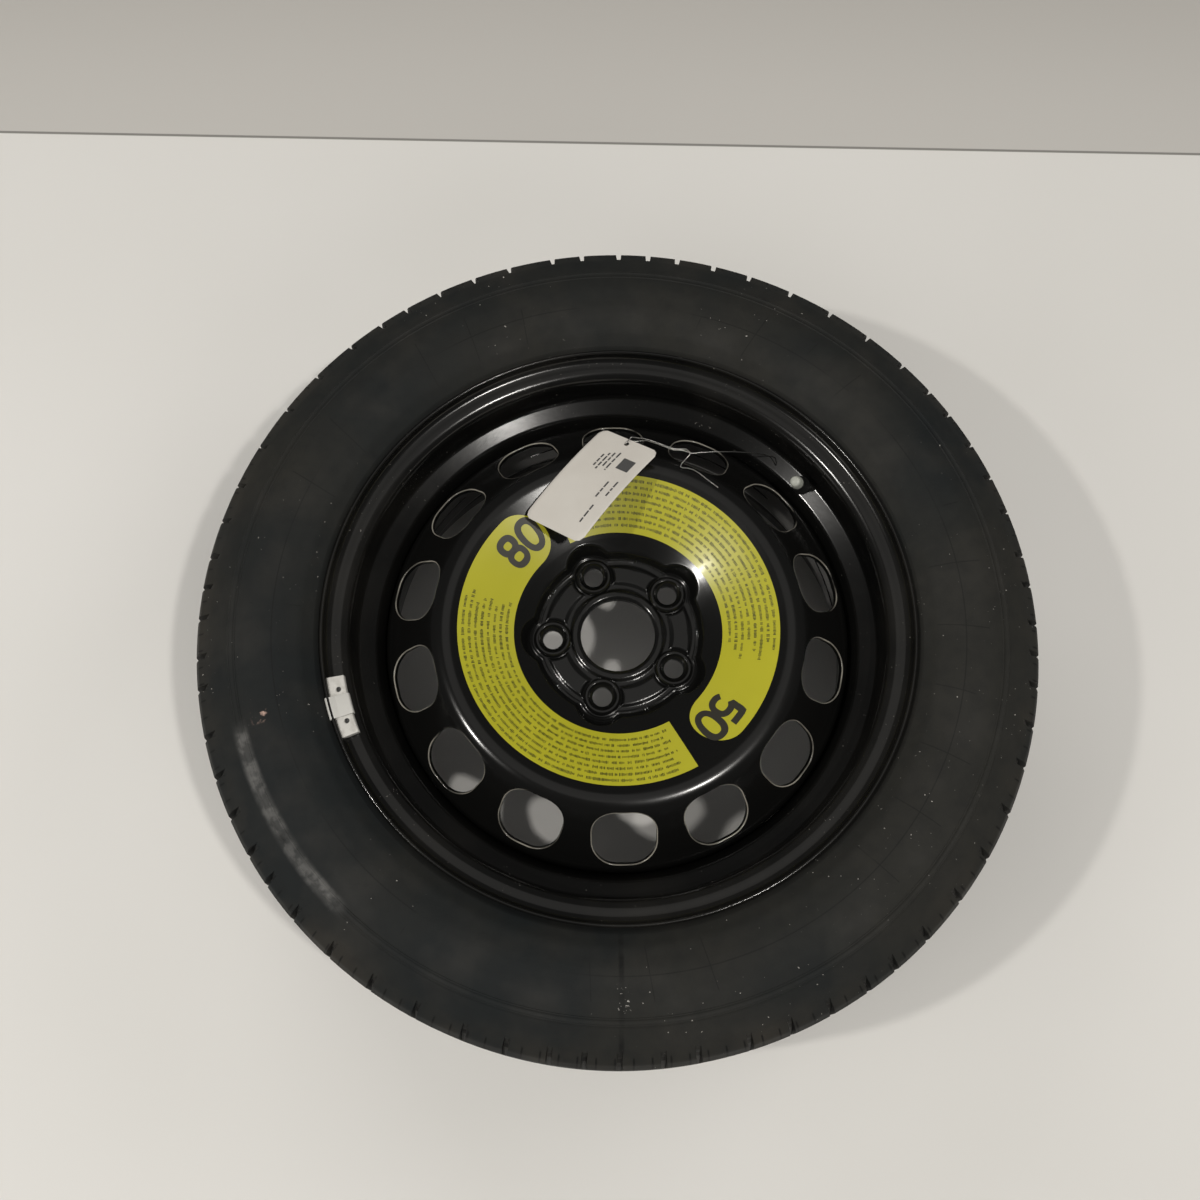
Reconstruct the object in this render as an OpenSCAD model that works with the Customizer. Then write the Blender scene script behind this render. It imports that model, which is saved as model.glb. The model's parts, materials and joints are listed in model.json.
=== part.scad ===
// Steel spare wheel with its tyre, lying on its inner side. Millimetres.
// The origin is the centre of the hub bore on the mounting face, and +Z is the wheel's axis,
// pointing out of the outer face.

/* [Rim] */
// Diameter of the bead seats
seat_d = 405.6; // [396:0.2:420]
// Width between the two flanges
rim_w = 165.1; // [155:0.1:180]
// Distance from the rim's middle plane up to the mounting face
rim_offset = 46; // [40:0.5:52]
// Thickness of the rim's sheet
rim_t = 2.8; // [2.2:0.1:3.4]
// Height of a flange above its bead seat
flange_h = 17.3; // [15:0.1:19]
// How far a flange curls out past its upright face
flange_curl = 10.9; // [9.5:0.1:12]
// Depth of the well below the bead seats
well_depth = 21.5; // [19:0.5:25]
// Width of the well's floor
well_w = 40; // [34:1:46]
// Depth of the well's upper corner below the upper flange's face
well_drop = 48.5; // [46:0.5:54]
// Width of each bead seat
bead_seat_w = 20; // [18:0.5:21]
// Taper of the bead seats in degrees
seat_taper = 5; // [3:0.5:6]
// Height of the safety hump over the inner end of its seat
hump_h = 1.1; // [0.5:0.1:1.6]
// Radial width of the sloping ledge that carries the valve
ledge_w = 13; // [12.5:0.5:13.5]
// Slope of the ledge in degrees, which is also the lean of the valve
ledge_slope = 24; // [18:1:28]
// Depth of the ledge's outer edge below the upper flange's face
ledge_drop = 29; // [27.5:0.5:31]

/* [Disc] */
// Thickness of the pressed disc
disc_t = 3.5; // [3:0.1:4.2]
// Radius of the disc's crown
crown_r = 133.3; // [131:0.1:136]
// Height of the crown's corner above the mounting face
crown_z = 36.6; // [34:0.2:39]
// Rounding of the crown
crown_round = 15; // [10:1:17]
// Radius at which the dished face starts, at the rim of the hub's recess
face_r = 62.5; // [61:0.5:66]
// Height at which the dished face starts
face_z = 6.3; // [5.5:0.1:7.5]
// Bulge of the dished face above a straight cone
face_bulge = 1.6; // [0:0.1:3]
// Length of the disc's flange inside the well
disc_flange = 23; // [16:1:28]
// Rounding between the disc's outer slope and its flange
flange_round = 10; // [7:1:13]
// Gap between the disc's flange and the well
disc_fit = 0.1; // [0.05:0.05:0.3]
// Number of vent holes
vent_count = 14; // [10:1:15]
// Width of a vent hole around the disc
vent_w = 47; // [38:0.5:50]
// Length of a vent hole down the slope
vent_l = 43.5; // [36:0.5:44]
// Corner radius of a vent hole
vent_round = 18; // [12:0.5:18]
// Radius of the circle through the vent holes' centres
vent_r = 155.9; // [154:0.1:158]
// Angle of the first vent hole
vent_turn = 14.4; // [0:0.1:25]

/* [Hub] */
// Diameter of the centre bore
bore_d = 57.1; // [54:0.1:60]
// Height of the coined ring round the bore
bore_ring_h = 5.4; // [4.5:0.1:6.5]
// Width of the coined ring round the bore
bore_ring_w = 8; // [6:0.5:9]
// Diameter of the bolt circle
bolt_pcd = 100; // [98:1:102]
// Number of bolts
bolt_count = 5; // [4:1:5]
// Diameter of a bolt hole
bolt_hole_d = 15; // [14:0.1:15.5]
// Radius of the ball seat under a bolt's head
ball_r = 13; // [12:0.5:14]
// Diameter of a seat's mouth
seat_mouth_d = 22; // [20.5:0.1:23]
// Outside diameter of a bolt boss
boss_d = 28; // [26:0.5:30]
// Height of a bolt boss
boss_h = 7; // [6:0.1:8]
// Angle of the first bolt
bolt_turn = 40.3; // [0:0.1:71]
// Radius of the hub's recessed floor between the bolts
floor_r = 52.6; // [51:0.1:54]
// Radius of the recessed floor round each bolt
floor_lobe_r = 15.4; // [14.5:0.1:16]
// How far the recess widens from its floor to its mouth between the bolts
recess_flare = 4.5; // [3.5:0.1:5]
// How far the recess widens from its floor to its mouth round each bolt
lobe_flare = 1.6; // [1:0.1:2]

/* [Welds] */
// Number of weld beads between the disc and the rim
weld_count = 8; // [4:1:12]
// Arc of one bead in degrees
weld_arc = 24; // [12:1:28]
// Leg of the weld's section
weld_leg = 4; // [3:0.5:6]

/* [Tyre] */
// Outside diameter of the tyre
tyre_d = 633; // [620:1:650]
// Section width of the tyre
tyre_w = 214; // [206:1:222]
// Width across the tread
tread_w = 172; // [164:1:176]
// Drop of the tread's edge below its crown
tread_drop = 4; // [2:0.5:6]
// Thickness of the tread band over the cavity
band_t = 13; // [11.5:0.5:15]
// Thickness of the sidewalls
side_t = 7; // [6:0.5:8]
// Gap between the tyre and the rim
bead_fit = 0.15; // [0.1:0.05:0.3]
// Gap between the rubber's inner edge and the flange's lip
lip_gap = 4.3; // [3.6:0.1:5.5]
// Depth of the tread grooves
groove_depth = 7; // [5:0.5:8]
// Width of the tread grooves
groove_w = 9; // [7:0.5:10]
// Distance of the inner pair of grooves from the middle
groove_in = 17; // [15:0.5:19]
// Distance of the outer pair of grooves from the middle
groove_out = 47; // [44:0.5:50]
// Width of a slot across a shoulder
slot_w = 3.6; // [2.5:0.1:5]
// Depth of a slot across a shoulder
slot_depth = 5.5; // [4:0.5:6.5]
// Height of the two fine rings on the sidewall
ring_h = 0.6; // [0.3:0.1:1]

/* [Valve] */
// Angle of the valve
valve_turn = 40.3; // [28:0.1:52]
// Diameter of the valve hole in the rim
valve_hole_d = 11.5; // [11.3:0.1:12.5]
// Distance of the valve from the ledge's outer edge, along the slope
valve_in = 7.3; // [7:0.1:7.6]
// Diameter of the rubber skirt on the ledge
skirt_d = 14.6; // [14:0.1:15.2]
// Length of the rubber above the ledge
rubber_h = 20.5; // [18:0.5:24]
// Diameter of the rubber at its top
rubber_top_d = 9.6; // [9.2:0.1:10.4]
// Diameter of the stem's thread
stem_d = 7.7; // [7.4:0.1:8.1]
// Length of the bare thread above the rubber
thread_h = 9.5; // [8:0.5:12]
// Bore of the stem round the core
core_bore_d = 5.3; // [5.1:0.1:5.5]
// Diameter of the core's pin
pin_d = 1.2; // [1:0.1:1.3]
// Travel of the pin when it is pressed
pin_travel = 1.2; // [0.8:0.1:1.4]
// Diameter of the cap at its mouth
cap_d = 10; // [9.6:0.1:10.6]
// Diameter of the cap at its closed end
cap_top_d = 7.2; // [6.8:0.1:8]
// Thickness of the cap's closed end
cap_top_t = 1.8; // [1:0.1:2.5]
// Running gap between the valve's small pieces
valve_fit = 0.08; // [0.05:0.01:0.1]

/* [Balance weight] */
// Angle of the weight's middle
weight_turn = 198.1; // [190:0.1:206]
// Length of the weight as an angle
weight_arc = 12.2; // [8:0.1:16]
// Radial width of the weight
weight_w = 12.6; // [11:0.1:13]
// Height of the weight above the flange's face
weight_h = 6.8; // [6:0.1:7.4]
// Diameter of the two dimples
dimple_d = 3.4; // [2.5:0.1:4]
// Angle between a dimple and the weight's middle
dimple_turn = 3.3; // [3.1:0.1:3.6]
// Width of the clip as an angle
clip_arc = 4.3; // [3.5:0.1:4.4]
// Thickness of the clip's strip
clip_t = 0.8; // [0.6:0.1:1]
// Gap between the clip and what it grips
clip_fit = 0.3; // [0.2:0.05:0.4]

/* [Stickers] */
// Inner radius of the stickers
film_in_r = 79.2; // [76:0.1:84]
// Outer radius of the stickers
film_out_r = 120.5; // [116:0.1:122]
// Thickness of the film
film_t = 0.15; // [0.1:0.01:0.3]
// Gap between the film and the disc
film_fit = 0.02; // [0.01:0.01:0.1]
// Angle of the middle of the left sticker's round end
left_round = 137.5; // [130:0.5:145]
// Angle of the left sticker's straight end
left_cut = 298.4; // [285:0.1:305]
// Angle of the middle of the right sticker's round end
right_round = -41.9; // [-46:0.1:-35]
// Angle of the right sticker's straight end
right_cut = 117.9; // [110:0.1:118.5]

/* [Tag] */
// Width of the card tag
tag_w = 58; // [52:0.5:59]
// Length of the card tag
tag_l = 98; // [90:0.5:99]
// Thickness of the card
tag_t = 0.4; // [0.3:0.05:0.6]
// Corner radius of the card
tag_round = 6; // [3:0.5:8]
// Diameter of the punched hole
tag_hole_d = 4; // [3:0.1:5]
// Distance of the hole from the card's end
tag_hole_in = 5; // [4:0.1:7]
// Diameter of the tie wire
wire_d = 0.8; // [0.6:0.1:1]

/* [Hidden] */
$fn = 96;
// Largest turn of one straight piece of a rounded corner, in degrees
arc_step = 15;

// Rim, as radii and heights of the middle of its sheet
mid_z = -rim_offset;
seat_r = seat_d / 2;
half_w = rim_w / 2;
sheet_r = seat_r - rim_t / 2;
lip_r = seat_r + flange_h - rim_t / 2;
flange_mid = half_w + rim_t / 2;
curl_round = 8.1;
heel_round = 6.5;
seat_end_r = sheet_r - bead_seat_w * tan(seat_taper);
hump_r = seat_end_r + hump_h;
hump_w = 4.5;
ledge_out = [seat_end_r - 0.7, mid_z + flange_mid - ledge_drop - rim_t / 2];
ledge_in = ledge_out - ledge_w * [1, tan(ledge_slope)];
well_in_r = seat_r - well_depth - rim_t;
well_mid_r = well_in_r + rim_t / 2;
well_top_z = mid_z + half_w - well_drop;
well_low_z = well_top_z - well_w;
ramp_r = (well_mid_r + 2 * seat_end_r) / 3;

// Disc, as radii and heights of the middle of its sheet
disc_flange_r = well_in_r - disc_fit - disc_t / 2;
outer_slope = 40.5;
slope_end_z = crown_z - (disc_flange_r - crown_r) * tan(outer_slope);
disc_low_z = slope_end_z - disc_flange;
vent_mid_z = crown_z - (vent_r - crown_r) * tan(outer_slope);
face_len = crown_r - face_r;

// Valve, along its own axis from the ledge's visible face
valve_seat = ledge_out - valve_in * [cos(ledge_slope), sin(ledge_slope)]
    + rim_t / 2 * [-sin(ledge_slope), cos(ledge_slope)];
stem_top = rubber_h + thread_h;
core_top = stem_top - 0.5;
core_low = core_top - 10.4;
head_low = -8.5;
spring_wire = 0.3;

// Balance weight, on the upper flange
flange_face_z = mid_z + half_w + rim_t;
lip_top_z = mid_z + half_w + flange_curl;
weight_out_r = lip_r - rim_t / 2 - clip_fit;
weight_in_r = weight_out_r - weight_w;
weight_top_z = flange_face_z + weight_h;

// Card tag: its middle, its turn about x, y and z, and the radius it is bowed to
tag_middle = [-21.6, 108.45, 48.95];
tag_turn = [5.4, 25.3, 144.3];
tag_bow_r = 363;
hole_y = tag_hole_in - tag_l / 2;

function turned(v, t) =
    let (p = [v[0], v[1] * cos(t[0]) - v[2] * sin(t[0]), v[1] * sin(t[0]) + v[2] * cos(t[0])],
         q = [p[0] * cos(t[1]) + p[2] * sin(t[1]), p[1], p[2] * cos(t[1]) - p[0] * sin(t[1])])
    [q[0] * cos(t[2]) - q[1] * sin(t[2]), q[0] * sin(t[2]) + q[1] * cos(t[2]), q[2]];
// A point over the card's middle line, y along it from its middle and h above its underside
function tag_at(y, h) =
    let (w = y / tag_bow_r * 180 / PI, r = tag_bow_r + h)
    tag_middle + turned([0, r * sin(w), r * cos(w) - tag_bow_r], tag_turn);

// Route of the tie wire, from its free end on the crown, through the tag's hole and out to the ledge
wire_route = [
    [76.6, 109.4, 36.35], [71.6, 113.6, 36.25], [67, 117.2, 36.25], [62.4, 121.1, 36.35], [57.7, 124.1, 36.45],
    [53.5, 125.2, 36.65], [49.3, 125.3, 36.95], [47.7, 126.3, 37.25], [48.8, 128.8, 37.65], [53, 133.3, 38.55],
    [55.1, 135.5, 39.25], [54.7, 137.6, 39.75], [52.1, 139.7, 40.15], [47.4, 139.4, 40.65], [41.6, 139.4, 41.65],
    [35.9, 141.3, 42.65], [30.3, 143, 43.65], [23.7, 145.1, 44.65], [18.1, 146.2, 45.35], [14.6, 146.5, 45.25],
    tag_at(hole_y - tag_hole_in - 1.5, tag_t + 2.2), tag_at(hole_y - 1.8, tag_t + 1.6),
    tag_at(hole_y, tag_t + 1.2), tag_at(hole_y + 1.3, tag_t / 2), tag_at(hole_y, -1.2),
    tag_at(hole_y - 1.8, -1.8), tag_at(hole_y - tag_hole_in - 1.5, -1.9),
    [21.9, 145.6, 42.35], [30.4, 143, 41.35], [41.7, 139.2, 39.95], [49.4, 139.1, 39.05], [53.1, 138.1, 38.55],
    [56.9, 137, 38.15], [63.5, 138, 37.75], [73, 139, 36.95], [80.7, 139.8, 35.35], [88.6, 140.9, 32.95],
    [95.6, 142, 29.75], [102.8, 143.4, 25.95], [110.1, 144.6, 21.35], [116.3, 145.3, 17.6], [120.9, 145.1, 14],
    [123.5, 143.6, 11], [125.2, 142.5, 8.4], [126.5, 141.4, 5.3]
];

function unit(v) = v / norm(v);
function turned_left(v) = [-v[1], v[0]];

// Points of a rounded corner at b between a and c, cut back where it would take more than
// the given shares of its two legs
function corner(a, b, c, round, share_a, share_c) =
    let (u = unit(b - a), v = unit(c - b),
         turn = acos(max(-1, min(1, u * v))),
         side = u[0] * v[1] - u[1] * v[0] > 0 ? 1 : -1,
         t = min(round * tan(turn / 2), share_a * norm(b - a), share_c * norm(c - b)),
         r = t / tan(turn / 2),
         n = max(2, ceil(turn / arc_step)),
         centre = b - t * u + side * r * turned_left(u))
    [for (i = [0:n])
        let (w = turn * i / n)
        centre - side * r * (cos(w) * turned_left(u) - side * sin(w) * u)];

// A path of [x, y, rounding] rows with its corners rounded
function rounded(rows) =
    [for (i = [0:len(rows) - 1])
        let (p = [rows[i][0], rows[i][1]])
        each (i == 0 || i == len(rows) - 1 || len(rows[i]) < 3
            ? [p]
            : corner([rows[i - 1][0], rows[i - 1][1]], p, [rows[i + 1][0], rows[i + 1][1]], rows[i][2],
                i == 1 ? 0.97 : 0.48, i == len(rows) - 2 ? 0.97 : 0.48))];

// Points of an arc from one angle to another
function arc(centre, r, from, to) =
    let (n = ceil(abs(to - from) / arc_step))
    [for (i = [0:n]) let (a = from + (to - from) * i / n) centre + r * [cos(a), sin(a)]];

// A path moved sideways by d, to its left
function shifted(path, d) =
    [for (i = [0:len(path) - 1])
        let (u = unit(path[max(i, 1)] - path[max(i, 1) - 1]),
             k = min(i, len(path) - 2),
             v = unit(path[k + 1] - path[k]),
             m = turned_left(u) + turned_left(v))
        path[i] + d * m / (1 + u * v)];

function backwards(list) = [for (i = [len(list) - 1:-1:0]) list[i]];
// A sheet between two distances to the left of a path
function sheet(path, low, high) = concat(shifted(path, low), backwards(shifted(path, high)));
function mirrored(rows) = [for (p = rows) [p[0], -p[1]]];

// Middle line of the rim, from the outer lip to the inner lip
function rim_rows() =
    [
        [lip_r, mid_z + half_w + flange_curl],
        [lip_r, mid_z + flange_mid, curl_round],
        [sheet_r, mid_z + flange_mid, heel_round + rim_t / 2],
        [seat_end_r, mid_z + half_w - bead_seat_w, 3],
        [hump_r, mid_z + half_w - bead_seat_w - hump_w, 3],
        [ledge_out[0], ledge_out[1], 5],
        [ledge_in[0], ledge_in[1], 4],
        [well_mid_r, well_top_z, 9],
        [well_mid_r, well_low_z, 14],
        [ramp_r, (well_low_z + mid_z - half_w + bead_seat_w) / 2, 30],
        [seat_end_r - 1, mid_z - half_w + bead_seat_w + hump_w + 7, 6],
        [hump_r, mid_z - half_w + bead_seat_w + hump_w, 3],
        [seat_end_r, mid_z - half_w + bead_seat_w, 3],
        [sheet_r, mid_z - flange_mid, heel_round + rim_t / 2],
        [lip_r, mid_z - flange_mid, curl_round],
        [lip_r, mid_z - half_w - flange_curl]
    ];

// Middle line of the disc, from inside the hub's recess to the end of its flange
function face_at(x) =
    [face_r + x * face_len,
     face_z + x * (crown_z - face_z) + 4 * face_bulge * x * (1 - x)];
function disc_rows() =
    [
        [face_r - 12, face_z],
        [face_r, face_z, 10],
        [each face_at(0.2), 60],
        [each face_at(0.45), 90],
        [each face_at(0.72), 90],
        [crown_r, crown_z, crown_round],
        [disc_flange_r, slope_end_z, flange_round],
        [disc_flange_r, disc_low_z]
    ];
disc_path = rounded(disc_rows());
// Height of the disc's outer face on the dished part
function face_top(r) = lookup(r, [for (p = shifted(disc_path, disc_t / 2)) if (p[0] < crown_r - 4) p]);

// The hub's recess: a round floor with a lobe at each bolt, widening upwards
module recess(floor_z, top_z, grow) {
    rise = (top_z - floor_z) / (face_z + disc_t / 2 - disc_t);
    low_r = floor_r + grow;
    lobe_r = floor_lobe_r + grow;
    translate([0, 0, floor_z])
        cylinder(h = top_z - floor_z, r1 = low_r, r2 = low_r + rise * recess_flare);
    at_bolts()
        translate([0, 0, floor_z])
            cylinder(h = top_z - floor_z, r1 = lobe_r, r2 = lobe_r + rise * lobe_flare);
}

// Everything under the disc's outer face, out to a radius
module under_face(out_r) {
    rotate_extrude()
        polygon(concat([[0, -1], [0, face_z + disc_t / 2]],
            [for (p = shifted(disc_path, disc_t / 2)) if (p[0] < out_r) p], [[out_r, -1]]));
}

module at_bolts() {
    for (i = [0:bolt_count - 1])
        rotate([0, 0, bolt_turn + i * 360 / bolt_count])
            translate([bolt_pcd / 2, 0, 0])
                children();
}

module vent_outline() {
    x = vent_l / 2;
    y = vent_w / 2;
    square([vent_l, vent_w - 2 * vent_round], center = true);
    square([vent_l - 2 * vent_round, vent_w], center = true);
    for (sx = [-1, 1])
        for (sy = [-1, 1])
            translate([sx * (x - vent_round), sy * (y - vent_round)])
                circle(r = vent_round);
}

module vents() {
    for (i = [0:vent_count - 1])
        rotate([0, 0, vent_turn + i * 360 / vent_count])
            translate([vent_r, 0, vent_mid_z])
                rotate([0, outer_slope, 0])
                    linear_extrude(height = 24, center = true)
                        vent_outline();
}

// A boss with a ball seat in its mouth
module bolt_boss() {
    mouth_r = seat_mouth_d / 2;
    ball_z = boss_h + sqrt(ball_r * ball_r - mouth_r * mouth_r);
    difference() {
        cylinder(h = boss_h - 1.4, r1 = boss_d / 2 + 1.4, r2 = boss_d / 2);
        cylinder(h = 3 * boss_h, r = bolt_hole_d / 2, center = true);
        translate([0, 0, ball_z])
            sphere(r = ball_r);
    }
    difference() {
        translate([0, 0, boss_h - 1.4])
            cylinder(h = 1.4, r1 = boss_d / 2, r2 = boss_d / 2 - 1.4);
        translate([0, 0, ball_z])
            sphere(r = ball_r);
    }
}

module disc() {
    floor_edge = bore_d / 2 + bore_ring_w;
    color("dimgray")
    difference() {
        union() {
            difference() {
                union() {
                    rotate_extrude()
                        polygon(sheet(disc_path, -disc_t / 2, disc_t / 2));
                    intersection() {
                        recess(0, face_z + 4 * disc_t, disc_t);
                        under_face(face_r + 6 * disc_t);
                    }
                }
                recess(disc_t, face_z + 5 * disc_t, 0);
                vents();
            }
            cylinder(h = disc_t, r = floor_r);
            rotate_extrude()
                polygon([
                    [bore_d / 2 - 2, 0], [floor_edge, 0], [floor_edge, disc_t],
                    [floor_edge - 2, bore_ring_h], [bore_d / 2 + 2.5, bore_ring_h],
                    [bore_d / 2, disc_t + 0.4], [bore_d / 2 - 2, disc_t + 0.4]
                ]);
            at_bolts()
                bolt_boss();
        }
        cylinder(h = 4 * bore_ring_h, r = bore_d / 2, center = true);
        at_bolts()
            cylinder(h = 4 * boss_h, r = bolt_hole_d / 2, center = true);
    }
}

module rim() {
    color("black")
    difference() {
        rotate_extrude()
            polygon(sheet(rounded(rim_rows()), -rim_t / 2, rim_t / 2));
        on_valve()
            cylinder(h = 5 * rim_t, r = valve_hole_d / 2, center = true);
    }
}

// Fillet welds in the corner under the disc's flange
module weld_beads() {
    r = well_in_r - 0.05;
    z = disc_low_z - 0.05;
    color("black")
    for (i = [0:weld_count - 1])
        rotate([0, 0, i * 360 / weld_count])
            rotate_extrude(angle = weld_arc)
                polygon([[r, z], [r - weld_leg, z], [r - weld_leg * 0.55, z - weld_leg * 0.55], [r, z - weld_leg]]);
}

// Outside of the upper half of the tyre's section, from the bead's toe to the crown.
// Heights are from the tyre's middle plane.
function tyre_outside() =
    let (r0 = seat_r + bead_fit, out = tyre_w / 2, fit = 2 * bead_fit,
         edge_r = seat_r + flange_h + lip_gap, edge = half_w + flange_curl - 0.3,
         top_r = tyre_d / 2, tread_r = top_r - tread_drop, tread = tread_w / 2,
         curl = [lip_r - curl_round, flange_mid + curl_round],
         curl_back = arc(curl, curl_round + rim_t / 2 + fit, -90, -45))
    concat(rounded([
        [r0 - 18 * tan(seat_taper), half_w - 18],
        [r0, half_w - fit, heel_round + 1],
        curl_back[0]
    ]), [curl_back[1], curl_back[2]], rounded([
        curl_back[3],
        [edge_r, edge, 1.2],
        [edge_r + 9, out - 6.6, 20],
        [edge_r + 25, out - 0.9, 40],
        [edge_r + 45, out, 40],
        [tread_r - 29, out - 3.8, 30],
        [tread_r - 13, out - 11.4, 20],
        [tread_r - 3.6, tread + 3, 7],
        [tread_r, tread - 5, 8],
        [top_r - 0.8, tread * 0.42, 120],
        [top_r, 0]
    ]));

// Radii of the two fine rings, and the sidewall's height at a radius
ring_radii = [tyre_d / 2 - 37.2, tyre_d / 2 - 32.8];
function side_at(r) =
    lookup(r, [for (p = tyre_outside()) if (p[0] > lip_r + 20 && p[1] > tread_w / 2 + 4) p]);
function side_ring(r) =
    [[r - 0.9, side_at(r - 0.9)], [r - 0.4, side_at(r - 0.4) + ring_h],
     [r + 0.4, side_at(r + 0.4) + ring_h], [r + 0.9, side_at(r + 0.9)]];
// The outside with the two rings on its sidewall
function ringed_outside() =
    let (path = tyre_outside(), a = ring_radii[0], b = ring_radii[1])
    concat([for (p = path) if (p[0] < a - 1) p], side_ring(a),
        [for (p = path) if (p[0] > a + 1 && p[0] < b - 1) p], side_ring(b),
        [for (p = path) if (p[0] > b + 1) p]);

function tyre_inside() =
    let (r0 = seat_r + bead_fit, out = tyre_w / 2 - side_t, top_r = tyre_d / 2 - band_t)
    rounded([
        [r0 - 18 * tan(seat_taper), half_w - 18],
        [seat_r + 8, half_w - 15, 6],
        [seat_r + 20, half_w + 1, 14],
        [seat_r + 32, out - 5.5, 20],
        [seat_r + 47, out - 0.8, 30],
        [seat_r + 64, out, 30],
        [seat_r + 82, out - 6, 25],
        [top_r - 6, tread_w / 2 - 6, 16],
        [top_r - 0.8, tread_w / 2 - 26, 30],
        [top_r, 0]
    ]);

module tread_groove(h) {
    top_r = tyre_d / 2;
    polygon([
        [top_r - groove_depth, h - groove_w / 2 + 1], [top_r - groove_depth, h + groove_w / 2 - 1],
        [top_r + 2, h + groove_w / 2 + 0.6], [top_r + 2, h - groove_w / 2 - 0.6]
    ]);
}

module tyre_section() {
    top = ringed_outside();
    bore = tyre_inside();
    low = mirrored(top);
    difference() {
        polygon(concat(top, backwards([for (i = [1:len(top) - 2]) low[i]]),
            [low[0]], mirrored([for (i = [1:len(bore) - 1]) bore[i]]),
            backwards([for (i = [1:len(bore) - 2]) bore[i]])));
        for (h = [-groove_out, -groove_in, groove_in, groove_out])
            tread_groove(h);
    }
}

// Lengths of the tread's pitches in turn: short, middle and long
pitch_run = [5, 4, 6, 5, 5, 5, 4, 5, 6, 6, 6, 6, 5, 5, 4, 4];
pitch_turns = 4;
function run_sum(n) = n == 0 ? 0 : pitch_run[n - 1] + run_sum(n - 1);
pitch_unit = 360 / pitch_turns / run_sum(len(pitch_run));
pitch_angles = [for (t = [0:pitch_turns - 1]) for (i = [0:len(pitch_run) - 1])
    t * 360 / pitch_turns + run_sum(i) * pitch_unit];

// One slot over the shoulder, from the outer groove to the buttress
module shoulder_slot() {
    r = tyre_d / 2 - tread_drop;
    e = tread_w / 2;
    rotate([90, 0, 0])
        linear_extrude(height = slot_w, center = true)
            polygon([
                [r + 12, groove_out + groove_w / 2 + 3], [r - slot_depth + 3, groove_out + groove_w / 2 + 3],
                [r - slot_depth + 1, e - 8], [r - slot_depth - 3.4, e + 3], [r - slot_depth - 6.2, e + 11],
                [r + 12, e + 18]
            ]);
}

module tyre() {
    color([0.13, 0.13, 0.14])
    translate([0, 0, mid_z])
    difference() {
        rotate_extrude()
            tyre_section();
        for (a = pitch_angles) {
            rotate([0, 0, a])
                shoulder_slot();
            rotate([0, 0, a + 2.5])
                mirror([0, 0, 1])
                    shoulder_slot();
        }
    }
}

// Places a piece on the valve's axis, with its zero on the ledge's visible face
module on_valve() {
    rotate([0, 0, valve_turn])
        translate([valve_seat[0], 0, valve_seat[1]])
            rotate([0, -ledge_slope, 0])
                children();
}

// Snap-in rubber body: head in the cavity, neck in the hole, skirt on the ledge
module valve_body() {
    neck_r = valve_hole_d / 2 - valve_fit;
    bore_r = stem_d / 2 + valve_fit;
    foot_r = 3.1 + valve_fit;
    skirt_z = 0.35;
    color([0.1, 0.1, 0.1])
    on_valve()
        rotate_extrude()
            polygon(concat(
                [[foot_r, head_low]],
                rounded([
                    [skirt_d / 2 - 1.6, head_low], [skirt_d / 2 + 0.4, -rim_t - 2, 1], [skirt_d / 2 - 1.1, -rim_t - 0.3],
                    [neck_r, -rim_t - 0.3, 0.3], [neck_r, skirt_z, 0.3],
                    [skirt_d / 2 - 0.4, skirt_z], [skirt_d / 2, 2.4, 1], [rubber_top_d / 2 + 0.9, 7.5, 4],
                    [rubber_top_d / 2 + 0.2, rubber_h - 2, 2], [rubber_top_d / 2 - 0.3, rubber_h]
                ]),
                [[bore_r, rubber_h], [bore_r, 6], [foot_r, 4]]));
}

module valve_stem() {
    color([0.78, 0.62, 0.3])
    on_valve()
        rotate_extrude()
            polygon([
                [1.5, head_low - 0.4], [3.1, head_low - 0.4], [3.1, 4.4], [stem_d / 2, 6.4],
                [stem_d / 2, stem_top - 0.5], [stem_d / 2 - 0.5, stem_top], [core_bore_d / 2, stem_top],
                [core_bore_d / 2, core_low - 3.8 - pin_travel], [1.5, core_low - 5.3 - pin_travel]
            ]);
}

// Screwed core: a sleeve with a spring chamber, guiding the pin at its lower end
module core_body() {
    out_r = core_bore_d / 2 - valve_fit;
    color([0.8, 0.68, 0.4])
    on_valve()
        rotate_extrude()
            polygon([
                [pin_d / 2 + valve_fit, core_low], [1.55, core_low], [1.75, core_low + 1.2], [1.75, core_low + 4.2],
                [out_r, core_low + 4.6], [out_r, core_top - 0.4], [out_r - 0.4, core_top], [1.4, core_top],
                [1.4, core_low + 1.4], [pin_d / 2 + valve_fit, core_low + 1.4]
            ]);
}

// Seal ring between the core and the stem's bore
module core_gasket() {
    color([0.85, 0.3, 0.25])
    on_valve()
        rotate_extrude()
            polygon([
                [1.75 + valve_fit, core_low + 1.6], [2.35, core_low + 1.9],
                [core_bore_d / 2 - valve_fit, core_low + 3.2], [core_bore_d / 2 - valve_fit, core_low + 4],
                [1.75 + valve_fit, core_low + 4]
            ]);
}

// Pin with its spring collar and, under the core, the plate that carries the washer
module core_pin() {
    r = pin_d / 2;
    color([0.8, 0.68, 0.4])
    on_valve()
        rotate_extrude()
            polygon([
                [0, core_low - 3], [r, core_low - 2.6], [r, core_low - 1.8], [1.9, core_low - 1.8],
                [1.9, core_low - 1], [r, core_low - 1], [r, core_low + 5.8], [1.2, core_low + 5.8],
                [1.2, core_low + 6.6], [r, core_low + 6.6], [r, core_top - 0.6], [0, core_top - 0.4]
            ]);
}

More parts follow.
